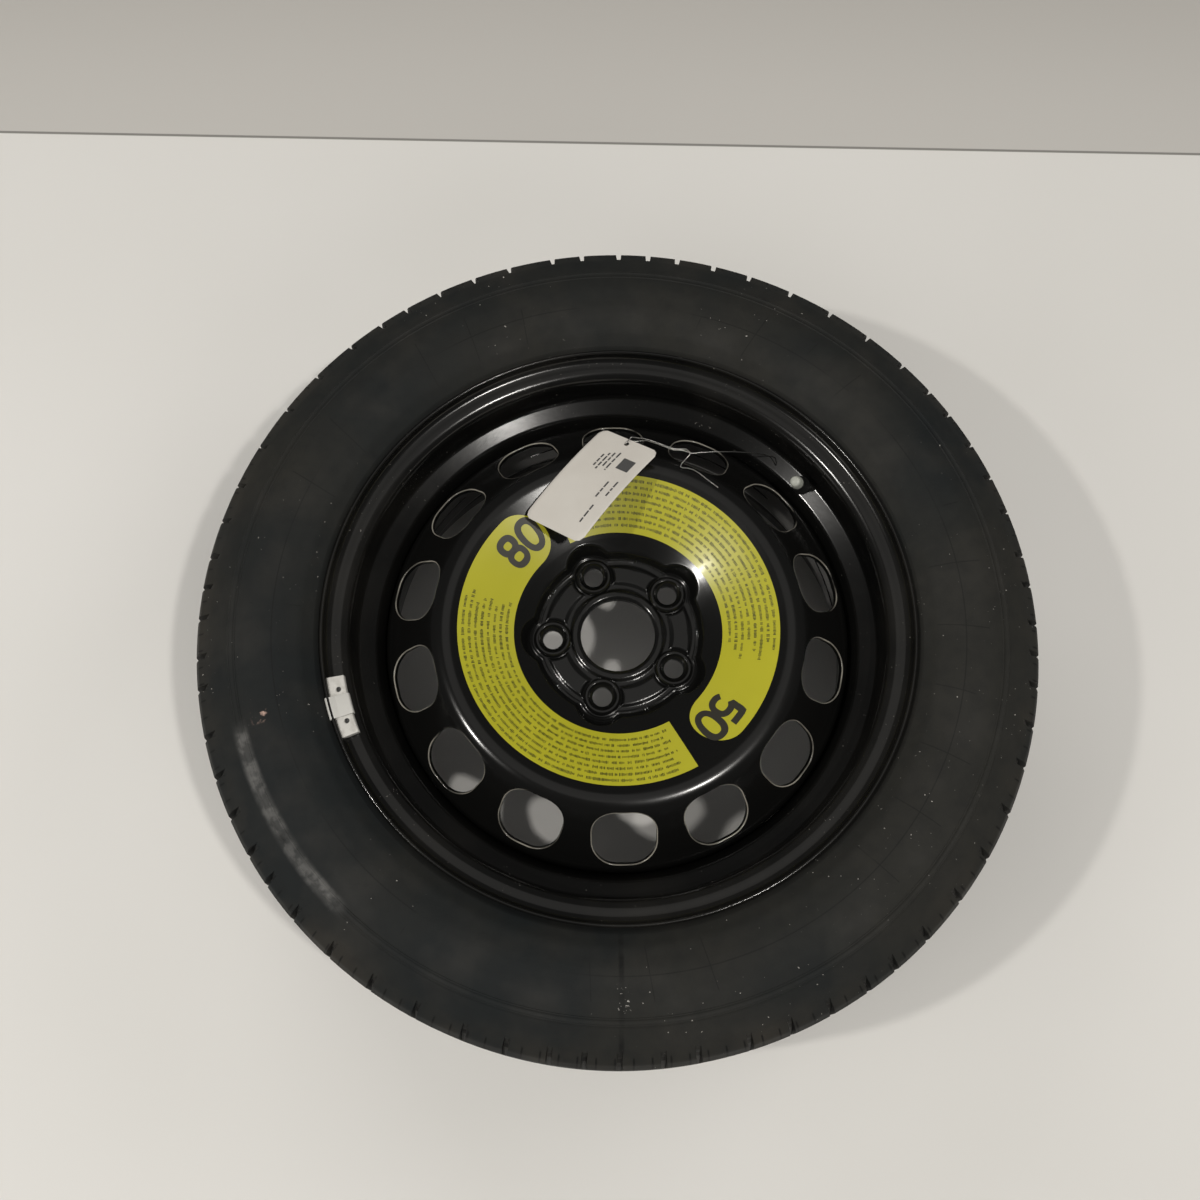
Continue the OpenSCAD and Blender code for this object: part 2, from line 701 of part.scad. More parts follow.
module core_washer() {
    color([0.1, 0.1, 0.1])
    on_valve()
        translate([0, 0, core_low - 1 + 0.02])
            difference() {
                cylinder(h = 0.96, r = 1.8);
                cylinder(h = 4, r = pin_d / 2 + 0.03, center = true);
            }
}

// Ring of points round a path's point
function ring(path, i, r, sides, up) =
    let (a = path[max(i - 1, 0)], b = path[min(i + 1, len(path) - 1)],
         d = unit(b - a), x = unit(cross(up, d)), y = cross(d, x))
    [for (k = [0:sides - 1]) path[i] + r * (cos(360 * k / sides) * x + sin(360 * k / sides) * y)];

module swept_tube(path, r, sides, up) {
    n = len(path);
    points = [for (i = [0:n - 1]) each ring(path, i, r, sides, up)];
    walls = [for (i = [0:n - 2]) for (k = [0:sides - 1])
        let (a = i * sides + k, b = i * sides + (k + 1) % sides)
        each [[a, b + sides, b], [a, a + sides, b + sides]]];
    polyhedron(points = points, faces = concat(walls,
        [[for (k = [0:sides - 1]) k]],
        [[for (k = [sides - 1:-1:0]) (n - 1) * sides + k]]));
}

// Compression spring between the core's floor and the pin's collar
module core_spring() {
    low = core_low + 1.4 + spring_wire / 2 + 0.03;
    high = core_low + 5.8 - spring_wire / 2 - 0.03;
    turns = 6;
    steps = 12;
    r = 1.0;
    color([0.7, 0.7, 0.72])
    on_valve()
        swept_tube([for (i = [0:turns * steps])
            [r * cos(360 * i / steps), r * sin(360 * i / steps), low + (high - low) * i / (turns * steps)]],
            spring_wire / 2, 6, [0, 0, 1]);
}

module valve_cap() {
    low = rubber_h + 0.3;
    top = stem_top + 0.3 + cap_top_t;
    bore_r = stem_d / 2 + valve_fit;
    color([0.7, 0.7, 0.66])
    on_valve()
        rotate_extrude()
            polygon([
                [bore_r, low], [cap_d / 2, low], [cap_d / 2, low + 3], [cap_top_d / 2 + 0.5, top - 1.6],
                [cap_top_d / 2, top - 0.6], [cap_top_d / 2 - 0.6, top], [0, top], [0, top - cap_top_t],
                [bore_r - 0.6, top - cap_top_t], [bore_r, top - cap_top_t - 0.6]
            ]);
}

// Section of the weight, resting on the flange's face and in its curl
module weight_section() {
    curl = curl_round - rim_t / 2;
    centre = [weight_out_r + clip_fit - curl, flange_face_z + curl];
    polygon(concat(
        arc(centre, curl - clip_fit, -90, 0),
        rounded([
            [weight_out_r, weight_top_z - 0.5], [weight_out_r - 1, weight_top_z, 0.6],
            [weight_in_r + 0.4, weight_top_z - 0.9, 1.2], [weight_in_r, flange_face_z + clip_fit, 0.8],
            [weight_in_r + 2, flange_face_z + clip_fit]
        ])));
}

module balance_weight() {
    dimple_r = weight_in_r + weight_w * 0.48;
    color([0.72, 0.72, 0.7])
    difference() {
        rotate([0, 0, weight_turn - weight_arc / 2])
            rotate_extrude(angle = weight_arc)
                weight_section();
        for (s = [-1, 1])
            rotate([0, 0, weight_turn + s * dimple_turn])
                translate([dimple_r, 0, weight_top_z - 2.4])
                    cylinder(h = 6, r = dimple_d / 2);
    }
}

// Spring strip over the weight and the flange's lip
module weight_clip() {
    top = weight_top_z + clip_fit / 2 + clip_t / 2;
    hook_r = lip_r + rim_t / 2 + clip_fit + clip_t / 2;
    over = lip_top_z + clip_fit + clip_t / 2;
    inner_r = weight_in_r - clip_fit - clip_t / 2;
    color([0.75, 0.75, 0.73])
    rotate([0, 0, weight_turn - clip_arc / 2])
        rotate_extrude(angle = clip_arc)
            polygon(sheet(rounded([
                [inner_r, weight_top_z - 4.6], [inner_r, top, 1.4], [weight_out_r - 3.4, top, 2],
                [weight_out_r + 0.4, over, 1.6], [hook_r, over, 1.4], [hook_r, lip_top_z - 3.4]
            ]), -clip_t / 2, clip_t / 2));
}

// Film over the dished face between two angles, with a round end at one of them
module film(from, to, round_at) {
    mid_r = (film_in_r + film_out_r) / 2;
    far = 2 * film_out_r;
    middle = (from + to) / 2;
    low = disc_t / 2 + film_fit;
    intersection() {
        rotate_extrude()
            polygon(sheet([for (p = disc_path) if (p[0] > film_in_r - 12 && p[0] < crown_r) p], low, low + film_t));
        linear_extrude(height = 60)
            union() {
                intersection() {
                    difference() {
                        circle(r = film_out_r);
                        circle(r = film_in_r);
                    }
                    polygon([[0, 0], for (a = [from, (from + middle) / 2, middle, (middle + to) / 2, to])
                        far * [cos(a), sin(a)]]);
                }
                rotate([0, 0, round_at])
                    translate([mid_r, 0])
                        circle(r = (film_out_r - film_in_r) / 2);
            }
    }
}

module sticker_left() {
    color([0.74, 0.76, 0.2])
        film(left_round, left_cut, left_round);
}

module sticker_right() {
    color([0.74, 0.76, 0.2])
        film(right_round, right_cut, right_round);
}

// Card bowed along its length, resting on the crown at its left side and held up by the wire
module tag() {
    x = tag_w / 2;
    y = tag_l / 2;
    steps = 12;
    half = y / tag_bow_r * 180 / PI;
    bow = [for (i = [-steps:steps]) [sin(half * i / steps), cos(half * i / steps)]];
    color("white")
    translate(tag_middle)
        rotate(tag_turn)
            intersection() {
                rotate([90, 0, 90])
                    linear_extrude(height = tag_w + 2, center = true)
                        translate([0, -tag_bow_r])
                            polygon(concat(tag_bow_r * bow, (tag_bow_r + tag_t) * backwards(bow)));
                linear_extrude(height = 16, center = true)
                    difference() {
                        union() {
                            square([tag_w, tag_l - 2 * tag_round], center = true);
                            square([tag_w - 2 * tag_round, tag_l], center = true);
                            for (sx = [-1, 1])
                                for (sy = [-1, 1])
                                    translate([sx * (x - tag_round), sy * (y - tag_round)])
                                        circle(r = tag_round);
                        }
                        translate([0, hole_y])
                            circle(r = tag_hole_d / 2);
                    }
            }
}

module tag_wire() {
    color([0.6, 0.6, 0.6])
        swept_tube(wire_route, wire_d / 2, 8, [0.45, -0.56, 0.7]);
}

tyre();
rim();
disc();
weld_beads();
valve_body();
valve_stem();
core_body();
core_gasket();
core_pin();
core_washer();
core_spring();
valve_cap();
balance_weight();
weight_clip();
sticker_left();
sticker_right();
tag();
tag_wire();
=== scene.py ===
# %% [markdown]
# # A steel spare wheel
# The wheel lies on its inner side on a pale floor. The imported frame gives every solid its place. This script
# gives the pressed sheet, the rubber, the films and the card their looks, lights them and sets the camera.

import json
import math

import bmesh
import bpy
import numpy as np
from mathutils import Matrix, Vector

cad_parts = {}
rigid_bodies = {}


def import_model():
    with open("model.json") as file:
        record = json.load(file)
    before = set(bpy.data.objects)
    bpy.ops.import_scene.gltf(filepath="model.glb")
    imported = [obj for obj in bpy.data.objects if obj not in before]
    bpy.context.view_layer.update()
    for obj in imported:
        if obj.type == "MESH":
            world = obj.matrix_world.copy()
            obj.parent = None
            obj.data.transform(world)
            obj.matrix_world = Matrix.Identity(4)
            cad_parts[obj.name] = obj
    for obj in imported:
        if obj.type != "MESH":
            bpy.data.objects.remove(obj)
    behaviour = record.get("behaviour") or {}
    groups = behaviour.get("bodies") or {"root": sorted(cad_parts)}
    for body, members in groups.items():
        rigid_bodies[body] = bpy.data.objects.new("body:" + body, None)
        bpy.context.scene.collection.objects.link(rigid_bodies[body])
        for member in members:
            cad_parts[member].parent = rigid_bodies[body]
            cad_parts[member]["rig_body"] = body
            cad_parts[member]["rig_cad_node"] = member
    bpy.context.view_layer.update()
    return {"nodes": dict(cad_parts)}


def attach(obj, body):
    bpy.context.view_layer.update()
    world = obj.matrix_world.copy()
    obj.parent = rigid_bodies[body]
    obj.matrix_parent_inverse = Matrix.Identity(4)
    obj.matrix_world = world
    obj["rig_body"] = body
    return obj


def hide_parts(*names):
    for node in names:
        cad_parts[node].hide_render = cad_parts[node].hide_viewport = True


MM = 0.001
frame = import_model()
nodes = frame["nodes"]

# %% [markdown]
# ## Helpers for sections and solids
# A section is a path of (radius, height, rounding) rows in millimetres. Each corner becomes a fine arc, so
# that glossy enamel reflects without facets. Solids are made from plain point and face lists.


# %% Sections
END_SHARE, MIDDLE_SHARE = 0.97, 0.48  # the part of a leg that an arc may use, on an end leg and on the others


def unit(v):
    return v / np.linalg.norm(v)


def to_left(v):
    return np.array([-v[1], v[0]])


def rounded(rows, step=8.0):
    """The path through rows with its corners rounded, in turns of at most step degrees."""
    out = [np.array(rows[0][:2], float)]
    last = len(rows) - 3
    for i, (row_a, row_b, row_c) in enumerate(zip(rows, rows[1:], rows[2:])):
        a, b, c = (np.array(row[:2], float) for row in (row_a, row_b, row_c))
        if len(row_b) < 3:
            out.append(b)
            continue
        u, v = unit(b - a), unit(c - b)
        turn = math.acos(max(-1.0, min(1.0, float(u @ v))))
        side = 1 if u[0] * v[1] - u[1] * v[0] > 0 else -1
        free_a = (END_SHARE if i == 0 else MIDDLE_SHARE) * np.linalg.norm(b - a)
        free_c = (END_SHARE if i == last else MIDDLE_SHARE) * np.linalg.norm(c - b)
        cut = min(row_b[2] * math.tan(turn / 2), free_a, free_c)
        r = cut / math.tan(turn / 2)
        centre = b - cut * u + side * r * to_left(u)
        count = max(3, math.ceil(math.degrees(turn) / step))
        for k in range(count + 1):
            w = turn * k / count
            out.append(centre - side * r * (math.cos(w) * to_left(u) - side * math.sin(w) * u))
    out.append(np.array(rows[-1][:2], float))
    return np.array(out)


def offset(path, d):
    """The path moved sideways by d, to its left."""
    leg = np.diff(path, axis=0)
    leg /= np.linalg.norm(leg, axis=1)[:, None]
    before, after = np.vstack([leg[:1], leg]), np.vstack([leg, leg[-1:]])
    left = np.stack([-(before + after)[:, 1], (before + after)[:, 0]], 1)
    return path + d * left / (1 + np.sum(before * after, 1))[:, None]


def sheet_loop(path, t):
    """The closed outline of a sheet of thickness t along the path, with round ends."""
    high, low = offset(path, t / 2), offset(path, -t / 2)

    def cap(a, b):
        middle, arm = (a + b) / 2, (a - b) / 2
        across = -to_left(arm)
        return [middle + arm * math.cos(w) + across * math.sin(w) for w in np.linspace(0, math.pi, 7)[1:-1]]

    return np.vstack([high, cap(high[-1], low[-1]), low[::-1], cap(low[0], high[0])])


def smooth_max(a, b, k):
    """The larger of two heights, with the corner between them rounded over k."""
    h = np.clip(0.5 + 0.5 * (a - b) / k, 0, 1)
    return b + (a - b) * h + k * h * (1 - h) * 0.5


def smooth_min(a, b, k):
    return -smooth_max(-a, -b, k)


# %% Solids
def solid(name, points, faces, body="wheel", sharp=40.0, face_values=None):
    """A mesh object from points in millimetres, merged at its seams and smooth up to the sharp angle."""
    mesh = bpy.data.meshes.new(name)
    mesh.from_pydata((np.asarray(points, float) * MM).tolist(), [], faces)
    if face_values is not None:
        values = mesh.attributes.new("lip", "FLOAT", "FACE")
        values.data.foreach_set("value", np.array(face_values, np.float32))
    work = bmesh.new()
    work.from_mesh(mesh)
    bmesh.ops.remove_doubles(work, verts=work.verts, dist=1e-6)
    bmesh.ops.dissolve_degenerate(work, edges=work.edges, dist=1e-7)
    bmesh.ops.recalc_face_normals(work, faces=work.faces)
    work.to_mesh(mesh)
    work.free()
    mesh.shade_smooth()
    mesh.set_sharp_from_angle(angle=math.radians(sharp))
    thing = bpy.data.objects.new(name, mesh)
    bpy.context.scene.collection.objects.link(thing)
    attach(thing, body)
    return thing


def grid_faces(rows, columns, close_rows=False, close_columns=False, start=0):
    """Quads over a grid of points that are stored row by row."""
    faces = []
    for i in range(rows if close_rows else rows - 1):
        for j in range(columns if close_columns else columns - 1):
            i2, j2 = (i + 1) % rows, (j + 1) % columns
            corners = (i * columns + j, i * columns + j2, i2 * columns + j2, i2 * columns + j)
            faces.append([start + corner for corner in corners])
    return faces


def polar(r, angle, z):
    """Points from radius, angle in radians and height."""
    r, angle, z = np.broadcast_arrays(r, angle, z)
    return np.stack([r * np.cos(angle), r * np.sin(angle), z], -1)


def revolved(name, loop, turns, **more):
    """A closed section turned round the axis."""
    angle = np.linspace(0, 2 * math.pi, turns, endpoint=False)
    points = polar(loop[None, :, 0], angle[:, None], loop[None, :, 1])
    return solid(name, points.reshape(-1, 3), grid_faces(turns, len(loop), True, True), **more)


def smooth_copy(name, node, body="wheel", sharp=35.0, bevel=0.0):
    """A merged, smooth copy of a small CAD node, which it stands for."""
    thing = nodes[node].copy()
    thing.data = nodes[node].data.copy()
    thing.name = thing.data.name = name
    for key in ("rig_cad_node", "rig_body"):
        if key in thing:
            del thing[key]
    bpy.context.scene.collection.objects.link(thing)
    work = bmesh.new()
    work.from_mesh(thing.data)
    bmesh.ops.remove_doubles(work, verts=work.verts, dist=1e-6)
    bmesh.ops.dissolve_limit(work, angle_limit=math.radians(0.5), verts=work.verts, edges=work.edges)
    if bevel:
        inner = [e for e in work.edges if len(e.link_faces) == 2]
        edges = [e for e in inner if e.calc_face_angle(0) > math.radians(sharp)]
        style = {"segments": 2, "profile": 0.5, "affect": "EDGES", "clamp_overlap": True}
        bmesh.ops.bevel(work, geom=edges, offset=bevel * MM, **style)
    bmesh.ops.triangulate(work, faces=[f for f in work.faces if len(f.verts) > 4])
    work.to_mesh(thing.data)
    work.free()
    thing.data.shade_smooth()
    thing.data.set_sharp_from_angle(angle=math.radians(sharp))
    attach(thing, body)
    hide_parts(node)
    return thing


# %% [markdown]
# ## Materials
# Every finish is a small node tree. It reads Object coordinates and, on the disc, a face attribute that marks
# the lips of the vents, which are painted pale as a painted highlight.


# %% Material helpers
def shader(name, color, roughness, metallic=0.0, coat=0.0, specular=0.5):
    """A material with one principled shader, and that shader's node."""
    material = bpy.data.materials.new(name)
    material.use_nodes = True
    base = material.node_tree.nodes["Principled BSDF"]
    base.inputs["Base Color"].default_value = (*color, 1)
    base.inputs["Roughness"].default_value = roughness
    base.inputs["Metallic"].default_value = metallic
    base.inputs["Coat Weight"].default_value = coat
    base.inputs["Coat Roughness"].default_value = 0.08
    base.inputs["Specular IOR Level"].default_value = specular
    return material, base


def node(material, kind, inputs=None, **settings):
    """A node with its settings, and with its inputs set to values or linked to sockets."""
    made = material.node_tree.nodes.new(kind)
    for key, value in settings.items():
        setattr(made, key, value)
    for key, value in (inputs or {}).items():
        if isinstance(value, bpy.types.NodeSocket):
            material.node_tree.links.new(value, made.inputs[key])
        else:
            made.inputs[key].default_value = value
    return made


def link(material, output, target):
    material.node_tree.links.new(output, target)


def place(material):
    """Object coordinates in metres."""
    return node(material, "ShaderNodeTexCoord").outputs["Object"]


def noise(material, scale, detail=4.0, low=0.0, high=1.0):
    """Noise mapped so that low becomes 0 and high becomes 1."""
    inputs = {"Vector": place(material), "Scale": scale, "Detail": detail}
    grain = node(material, "ShaderNodeTexNoise", inputs).outputs["Fac"]
    spread = node(material, "ShaderNodeMapRange", {"Value": grain, "From Min": low, "From Max": high})
    return spread.outputs["Result"]


def mixed(material, factor, a, b):
    """A colour between a and b."""
    mix = node(material, "ShaderNodeMix", data_type="RGBA")
    for key, value in ((0, factor), (6, a), (7, b)):
        if isinstance(value, bpy.types.NodeSocket):
            material.node_tree.links.new(value, mix.inputs[key])
        else:
            mix.inputs[key].default_value = value if key == 0 else (*value, 1)
    return mix.outputs[2]


def times(material, a, b, operation="MULTIPLY"):
    return node(material, "ShaderNodeMath", {0: a, 1: b}, operation=operation).outputs[0]


def radius(material):
    """Distance from the wheel's axis, in metres."""
    flat = node(material, "ShaderNodeVectorMath", {0: place(material), 1: (1, 1, 0)}, operation="MULTIPLY")
    return node(material, "ShaderNodeVectorMath", {0: flat.outputs[0]}, operation="LENGTH").outputs["Value"]


def band(material, value, low, high):
    """0 below low and 1 above high."""
    inputs = {"Value": value, "From Min": low, "From Max": high}
    return node(material, "ShaderNodeMapRange", inputs, interpolation_type="SMOOTHSTEP").outputs["Result"]


def bump(material, base, height, distance, strength=1.0):
    made = node(material, "ShaderNodeBump", {"Height": height, "Distance": distance, "Strength": strength})
    link(material, made.outputs["Normal"], base.inputs["Normal"])


# %% Enamel
BLACK_ENAMEL = (0.004, 0.004, 0.0038)


def enamel(name, roughness, dust):
    """Black stoving enamel with a faint orange peel, thin dust in places, a few specks and a pale painted
    highlight on the vents' lips.
    """
    material, base = shader(name, BLACK_ENAMEL, roughness)
    cloud = noise(material, 11, 5, 0.45, 0.8)
    outside = band(material, radius(material), 0.168, 0.2)
    clusters = band(material, noise(material, 30, 3), 0.5, 0.62)
    specks = times(material, noise(material, 520, 2, 0.715, 0.74), clusters)
    laid = times(material, times(material, cloud, outside), dust)
    color = mixed(material, laid, BLACK_ENAMEL, (0.06, 0.055, 0.046))
    color = mixed(material, times(material, times(material, specks, outside), 0.6), color, (0.22, 0.21, 0.19))
    # the vents' lips are painted pale: a painted highlight for the light that their rounded edges catch
    lip = node(material, "ShaderNodeAttribute", attribute_name="lip").outputs["Fac"]
    lip = times(material, lip, noise(material, 26, 3, 0.36, 0.56))
    color = mixed(material, lip, color, (0.26, 0.245, 0.21))
    link(material, color, base.inputs["Base Color"])
    link(material, times(material, times(material, cloud, 0.08), roughness, "ADD"), base.inputs["Roughness"])
    bump(material, base, noise(material, 190, 3), 0.00004, 0.4)
    return material


rim_paint = enamel("rim_enamel", 0.16, 0.18)
disc_paint = enamel("disc_enamel", 0.17, 0.1)

# %% [markdown]
# ## Rim
# The rim is one rolled sheet: lip, flange, bead seat, hump, valve ledge, well and the same again below.

# %% Rim
MID_Z, HALF_W, SEAT_R, RIM_T = -46.0, 82.55, 202.8, 2.8
SHEET_R, FLANGE_MID, LIP_R = SEAT_R - RIM_T / 2, HALF_W + RIM_T / 2, SEAT_R + 17.3 - RIM_T / 2
SEAT_END = SHEET_R - 20 * math.tan(math.radians(5))
LEDGE = np.array([SEAT_END - 0.7, MID_Z + FLANGE_MID - 29 - RIM_T / 2])
LEDGE_IN = LEDGE - 13 * np.array([1, math.tan(math.radians(24))])
WELL_IN = SEAT_R - 21.5 - RIM_T
WELL_R, WELL_TOP = WELL_IN + RIM_T / 2, MID_Z + HALF_W - 48.5
RAMP_R, HUMP_R = (WELL_R + 2 * SEAT_END) / 3, SEAT_END + 1.1
SEAT_LOW = MID_Z - HALF_W + 20
rim_rows = [
    (LIP_R, MID_Z + HALF_W + 10.9), (LIP_R, MID_Z + FLANGE_MID, 8.1), (SHEET_R, MID_Z + FLANGE_MID, 7.9),
    (SEAT_END, MID_Z + HALF_W - 20, 3), (HUMP_R, MID_Z + HALF_W - 24.5, 3), (*LEDGE, 5), (*LEDGE_IN, 4),
    (WELL_R, WELL_TOP, 9), (WELL_R, WELL_TOP - 40, 14), (RAMP_R, (WELL_TOP - 40 + SEAT_LOW) / 2, 30),
    (SEAT_END - 1, SEAT_LOW + 11.5, 6), (HUMP_R, SEAT_LOW + 4.5, 3), (SEAT_END, SEAT_LOW, 3),
    (SHEET_R, MID_Z - FLANGE_MID, 7.9), (LIP_R, MID_Z - FLANGE_MID, 8.1), (LIP_R, MID_Z - HALF_W - 10.9),
]
rim_loop = sheet_loop(rounded(rim_rows, 10), RIM_T)
rim = revolved("rim_sheet", rim_loop, 300)
rim.data.materials.append(rim_paint)
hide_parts("rim")
print("rim section points", len(rim_loop))

# %% [markdown]
# ## Disc
# The disc is meshed in patches that share their edges: a turned dish, one patch round each vent hole, a
# turned flange, and one patch round each bolt whose heights come from blended shapes, as in a real pressing.

# %% Disc section
DISC_T, CROWN_R, CROWN_Z, SLOPE = 3.5, 133.3, 36.6, math.radians(40.5)
FACE_R, FACE_Z, FACE_BULGE = 62.5, 6.3, 1.6
FLANGE_R = WELL_IN - 0.1 - DISC_T / 2
SLOPE_END = CROWN_Z - (FLANGE_R - CROWN_R) * math.tan(SLOPE)


def face_row(x, rounding):
    """A row of the disc's bulging face, at a share x of the way from the hub to the crown."""
    r = FACE_R + x * (CROWN_R - FACE_R)
    return (r, FACE_Z + x * (CROWN_Z - FACE_Z) + 4 * FACE_BULGE * x * (1 - x), rounding)


disc_rows = [
    (50.5, FACE_Z), (FACE_R, FACE_Z, 10), face_row(0.2, 60), face_row(0.45, 90), face_row(0.72, 90),
    (CROWN_R, CROWN_Z, 15), (FLANGE_R, SLOPE_END, 10), (FLANGE_R, SLOPE_END - 23),
]
middle = rounded(disc_rows, 3)
top_line, low_line = offset(middle, DISC_T / 2), offset(middle, -DISC_T / 2)
along = np.concatenate([[0], np.cumsum(np.linalg.norm(np.diff(middle, axis=0), axis=1))])


def on_line(line, s):
    return np.interp(s, along, line[:, 0]), np.interp(s, along, line[:, 1])


def station(r):
    """The place along the section where the top line reaches radius r."""
    return float(np.interp(r, top_line[:, 0], along))


def dish(s, angle, depth):
    """Points at a station and an angle, from depth 0 on the top to 1 on the underside."""
    (r1, z1), (r2, z2) = on_line(top_line, s), on_line(low_line, s)
    return polar(r1 + (r2 - r1) * depth, angle, z1 + (z2 - z1) * depth)


VENT_COUNT, VENT_L, VENT_W, VENT_CORNER, VENT_TURN = 14, 43.5, 47.0, 18.0, 14.4
BOLTS, BOLT_R, BORE_R, BOLT_TURN = 5, 50.0, 28.55, math.radians(40.3)
S_VENT = float(np.interp(155.9, middle[:, 0], along))
S_HUB, S_BEND, S_END = station(76), station(118), along[-1]
S_CROWN, S_FLANGE = S_VENT - VENT_L / 2 - 3.2, S_VENT + VENT_L / 2 + 3.0
disc_points, disc_faces = [], []


def add(points, faces):
    start = sum(len(p) for p in disc_points)
    disc_points.append(np.asarray(points).reshape(-1, 3))
    disc_faces.extend([[start + v for v in face] for face in faces])


TURNS = 280
angles = np.radians(VENT_TURN - 180 / VENT_COUNT) + np.linspace(0, 2 * math.pi, TURNS, endpoint=False)
hub_shift = (BOLT_TURN - math.pi / BOLTS - angles[0]) % (2 * math.pi / TURNS)
strips = ((S_HUB, S_BEND, (16, 8)), (S_BEND, S_CROWN, (31, 10)), (S_FLANGE, S_END, (14, 8)))
for low_s, high_s, counts in strips:
    for depth, count in enumerate(counts):
        stations = np.linspace(low_s, high_s, count)[:, None]
        shift = hub_shift * np.clip((S_BEND - stations) / (S_BEND - S_HUB), 0, 1)
        add(dish(stations, angles + shift, depth), grid_faces(count, TURNS, close_columns=True))
add([dish(S_END, angles, depth) for depth in (0, 0.5, 1)], grid_faces(3, TURNS, close_columns=True))


# %% Vent holes
def outline(direction, a, b, corner):
    """Points of a rounded rectangle of half sizes a and b in the given directions from its middle."""
    near, far = np.zeros(len(direction)), np.full(len(direction), 2 * max(a, b))
    ray = np.stack([np.cos(direction), np.sin(direction)], 1)
    for _ in range(40):
        reach = (near + far) / 2
        q = np.abs(ray * reach[:, None]) - [a - corner, b - corner]
        out = np.linalg.norm(np.maximum(q, 0), axis=1) + np.minimum(q.max(1), 0) - corner > 0
        near, far = np.where(out, near, reach), np.where(out, reach, far)
    return ray * far[:, None]


vent_middle = on_line(middle, S_VENT)[0]
half = math.pi / VENT_COUNT
inner = [(S_CROWN, w) for w in np.linspace(-half, half, 21)]
side = [(s, half) for s in np.linspace(S_CROWN, S_FLANGE, 15)[1:-1]]
outer = [(S_FLANGE, w) for w in np.linspace(half, -half, 21)]
other = [(s, -half) for s in np.linspace(S_FLANGE, S_CROWN, 15)[1:-1]]
edge = np.array(inner + side + outer + other)
edge_x = edge[:, 0] - S_VENT
edge_y = edge[:, 1] * vent_middle
direction = np.arctan2(edge_y, edge_x)


def vent_ring(grow):
    shape = outline(direction, VENT_L / 2 + grow, VENT_W / 2 + grow, VENT_CORNER + grow)
    s = S_VENT + shape[:, 0]
    return np.stack([s, shape[:, 1] / on_line(middle, s)[0]], 1)


steps = [0, 0.05, 0.13, 0.25, 0.42, 0.65, 1.0]
rows = [(edge + (vent_ring(0.7) - edge) * (1 - f), 0.0) for f in steps[::-1]]
rows += [(vent_ring(0.7 * (1 - math.sin(w))), 0.2 * (1 - math.cos(w))) for w in np.radians([30, 60, 90])]
rows += [(vent_ring(0.4 * (1 - math.cos(w))), 0.88 + 0.12 * math.sin(w)) for w in np.radians([0, 45, 90])]
rows += [(edge + (vent_ring(0.4) - edge) * (1 - f), 1.0) for f in steps[1:]]
lip_highlight_faces = []
for k in range(VENT_COUNT):
    turn = math.radians(VENT_TURN) + 2 * half * k
    points = [dish(r[:, 0], r[:, 1] + turn, depth) for r, depth in rows]
    # the three rows of the rounded edge are the lip, which the enamel paints with a pale painted highlight
    first_lip = len(disc_faces) + (len(steps) - 1) * len(edge)
    add(points, grid_faces(len(rows), len(edge), close_columns=True))
    lip_highlight_faces += range(first_lip, first_lip + 3 * len(edge))
print("vent rows", len(rows), "round", len(edge), "points")

# %% Hub
LOBED_EDGE_R, LOBE_RHO = 60.4, 16.6
PAD_IN, PAD_OUT, PAD_RHO, PAD_H, PAD_SLOPE = 40.4, 56.6, 15.0, 1.6, 0.8
BOSS_H, SEAT_BALL_R, SEAT_BALL_Z, RING_H, RING_R = 7.0, 13, 13.93, 5.4, 34.6

def hub_floor(r, rho):
    """The recess, with a lobe round each bolt and a low bead along its edge."""
    edge = smooth_min(r - LOBED_EDGE_R, rho - LOBE_RHO, 2.0)
    recess = smooth_max(np.full_like(r, DISC_T), DISC_T + (edge - 1.4) * 1.7, 1.6)
    z = smooth_min(recess, np.interp(r, top_line[:, 0], top_line[:, 1]), 1.2)
    return z + 0.55 * np.exp(-((edge / 0.8) ** 2))


def hub_pad(r, rho):
    """The raised pads between the bolts, as a height over the recess."""
    sides = smooth_min((r - PAD_IN) * PAD_SLOPE, (PAD_OUT - r) * PAD_SLOPE, 1.0)
    pad = smooth_min(sides, (rho - PAD_RHO) * PAD_SLOPE, 1.0)
    return smooth_max(np.zeros_like(r), smooth_min(pad, np.full_like(r, PAD_H), 1.0), 0.5)


def hub_top(x, y, rho):
    """Height of the hub's outer face at a point whose distance from its bolt is rho."""
    r = np.hypot(x, y)
    z = hub_floor(r, rho) + hub_pad(r, rho)
    boss = smooth_min(np.minimum(BOSS_H, BOSS_H - (rho - 12.6)), 5.6 - 4 * (rho - 14), 0.8)
    z = smooth_max(z, boss, 1.0)
    seat = SEAT_BALL_Z - np.sqrt(np.maximum(SEAT_BALL_R**2 - rho**2, 20))
    z = smooth_min(z, np.where(rho < 12.4, seat, 99), 0.35)
    ring = smooth_min(RING_H - (r - RING_R) * 0.95, np.full_like(r, RING_H), 0.8)
    ring = smooth_min(ring, 3.9 + (r - BORE_R) * 0.6, 0.6)
    return np.where(r < 42, smooth_max(z, ring, 0.8), z)


def hub_low(x, y, rho):
    """Height of the hub's inner face."""
    r = np.hypot(x, y)
    wall = smooth_min((r - 64.6) * 1.7, (rho - 20.6) * 1.7, 2.0)
    recess = smooth_max(np.zeros_like(r), wall, 2.4)
    return smooth_min(recess, np.interp(r, low_line[:, 0], low_line[:, 1]), 1.8)


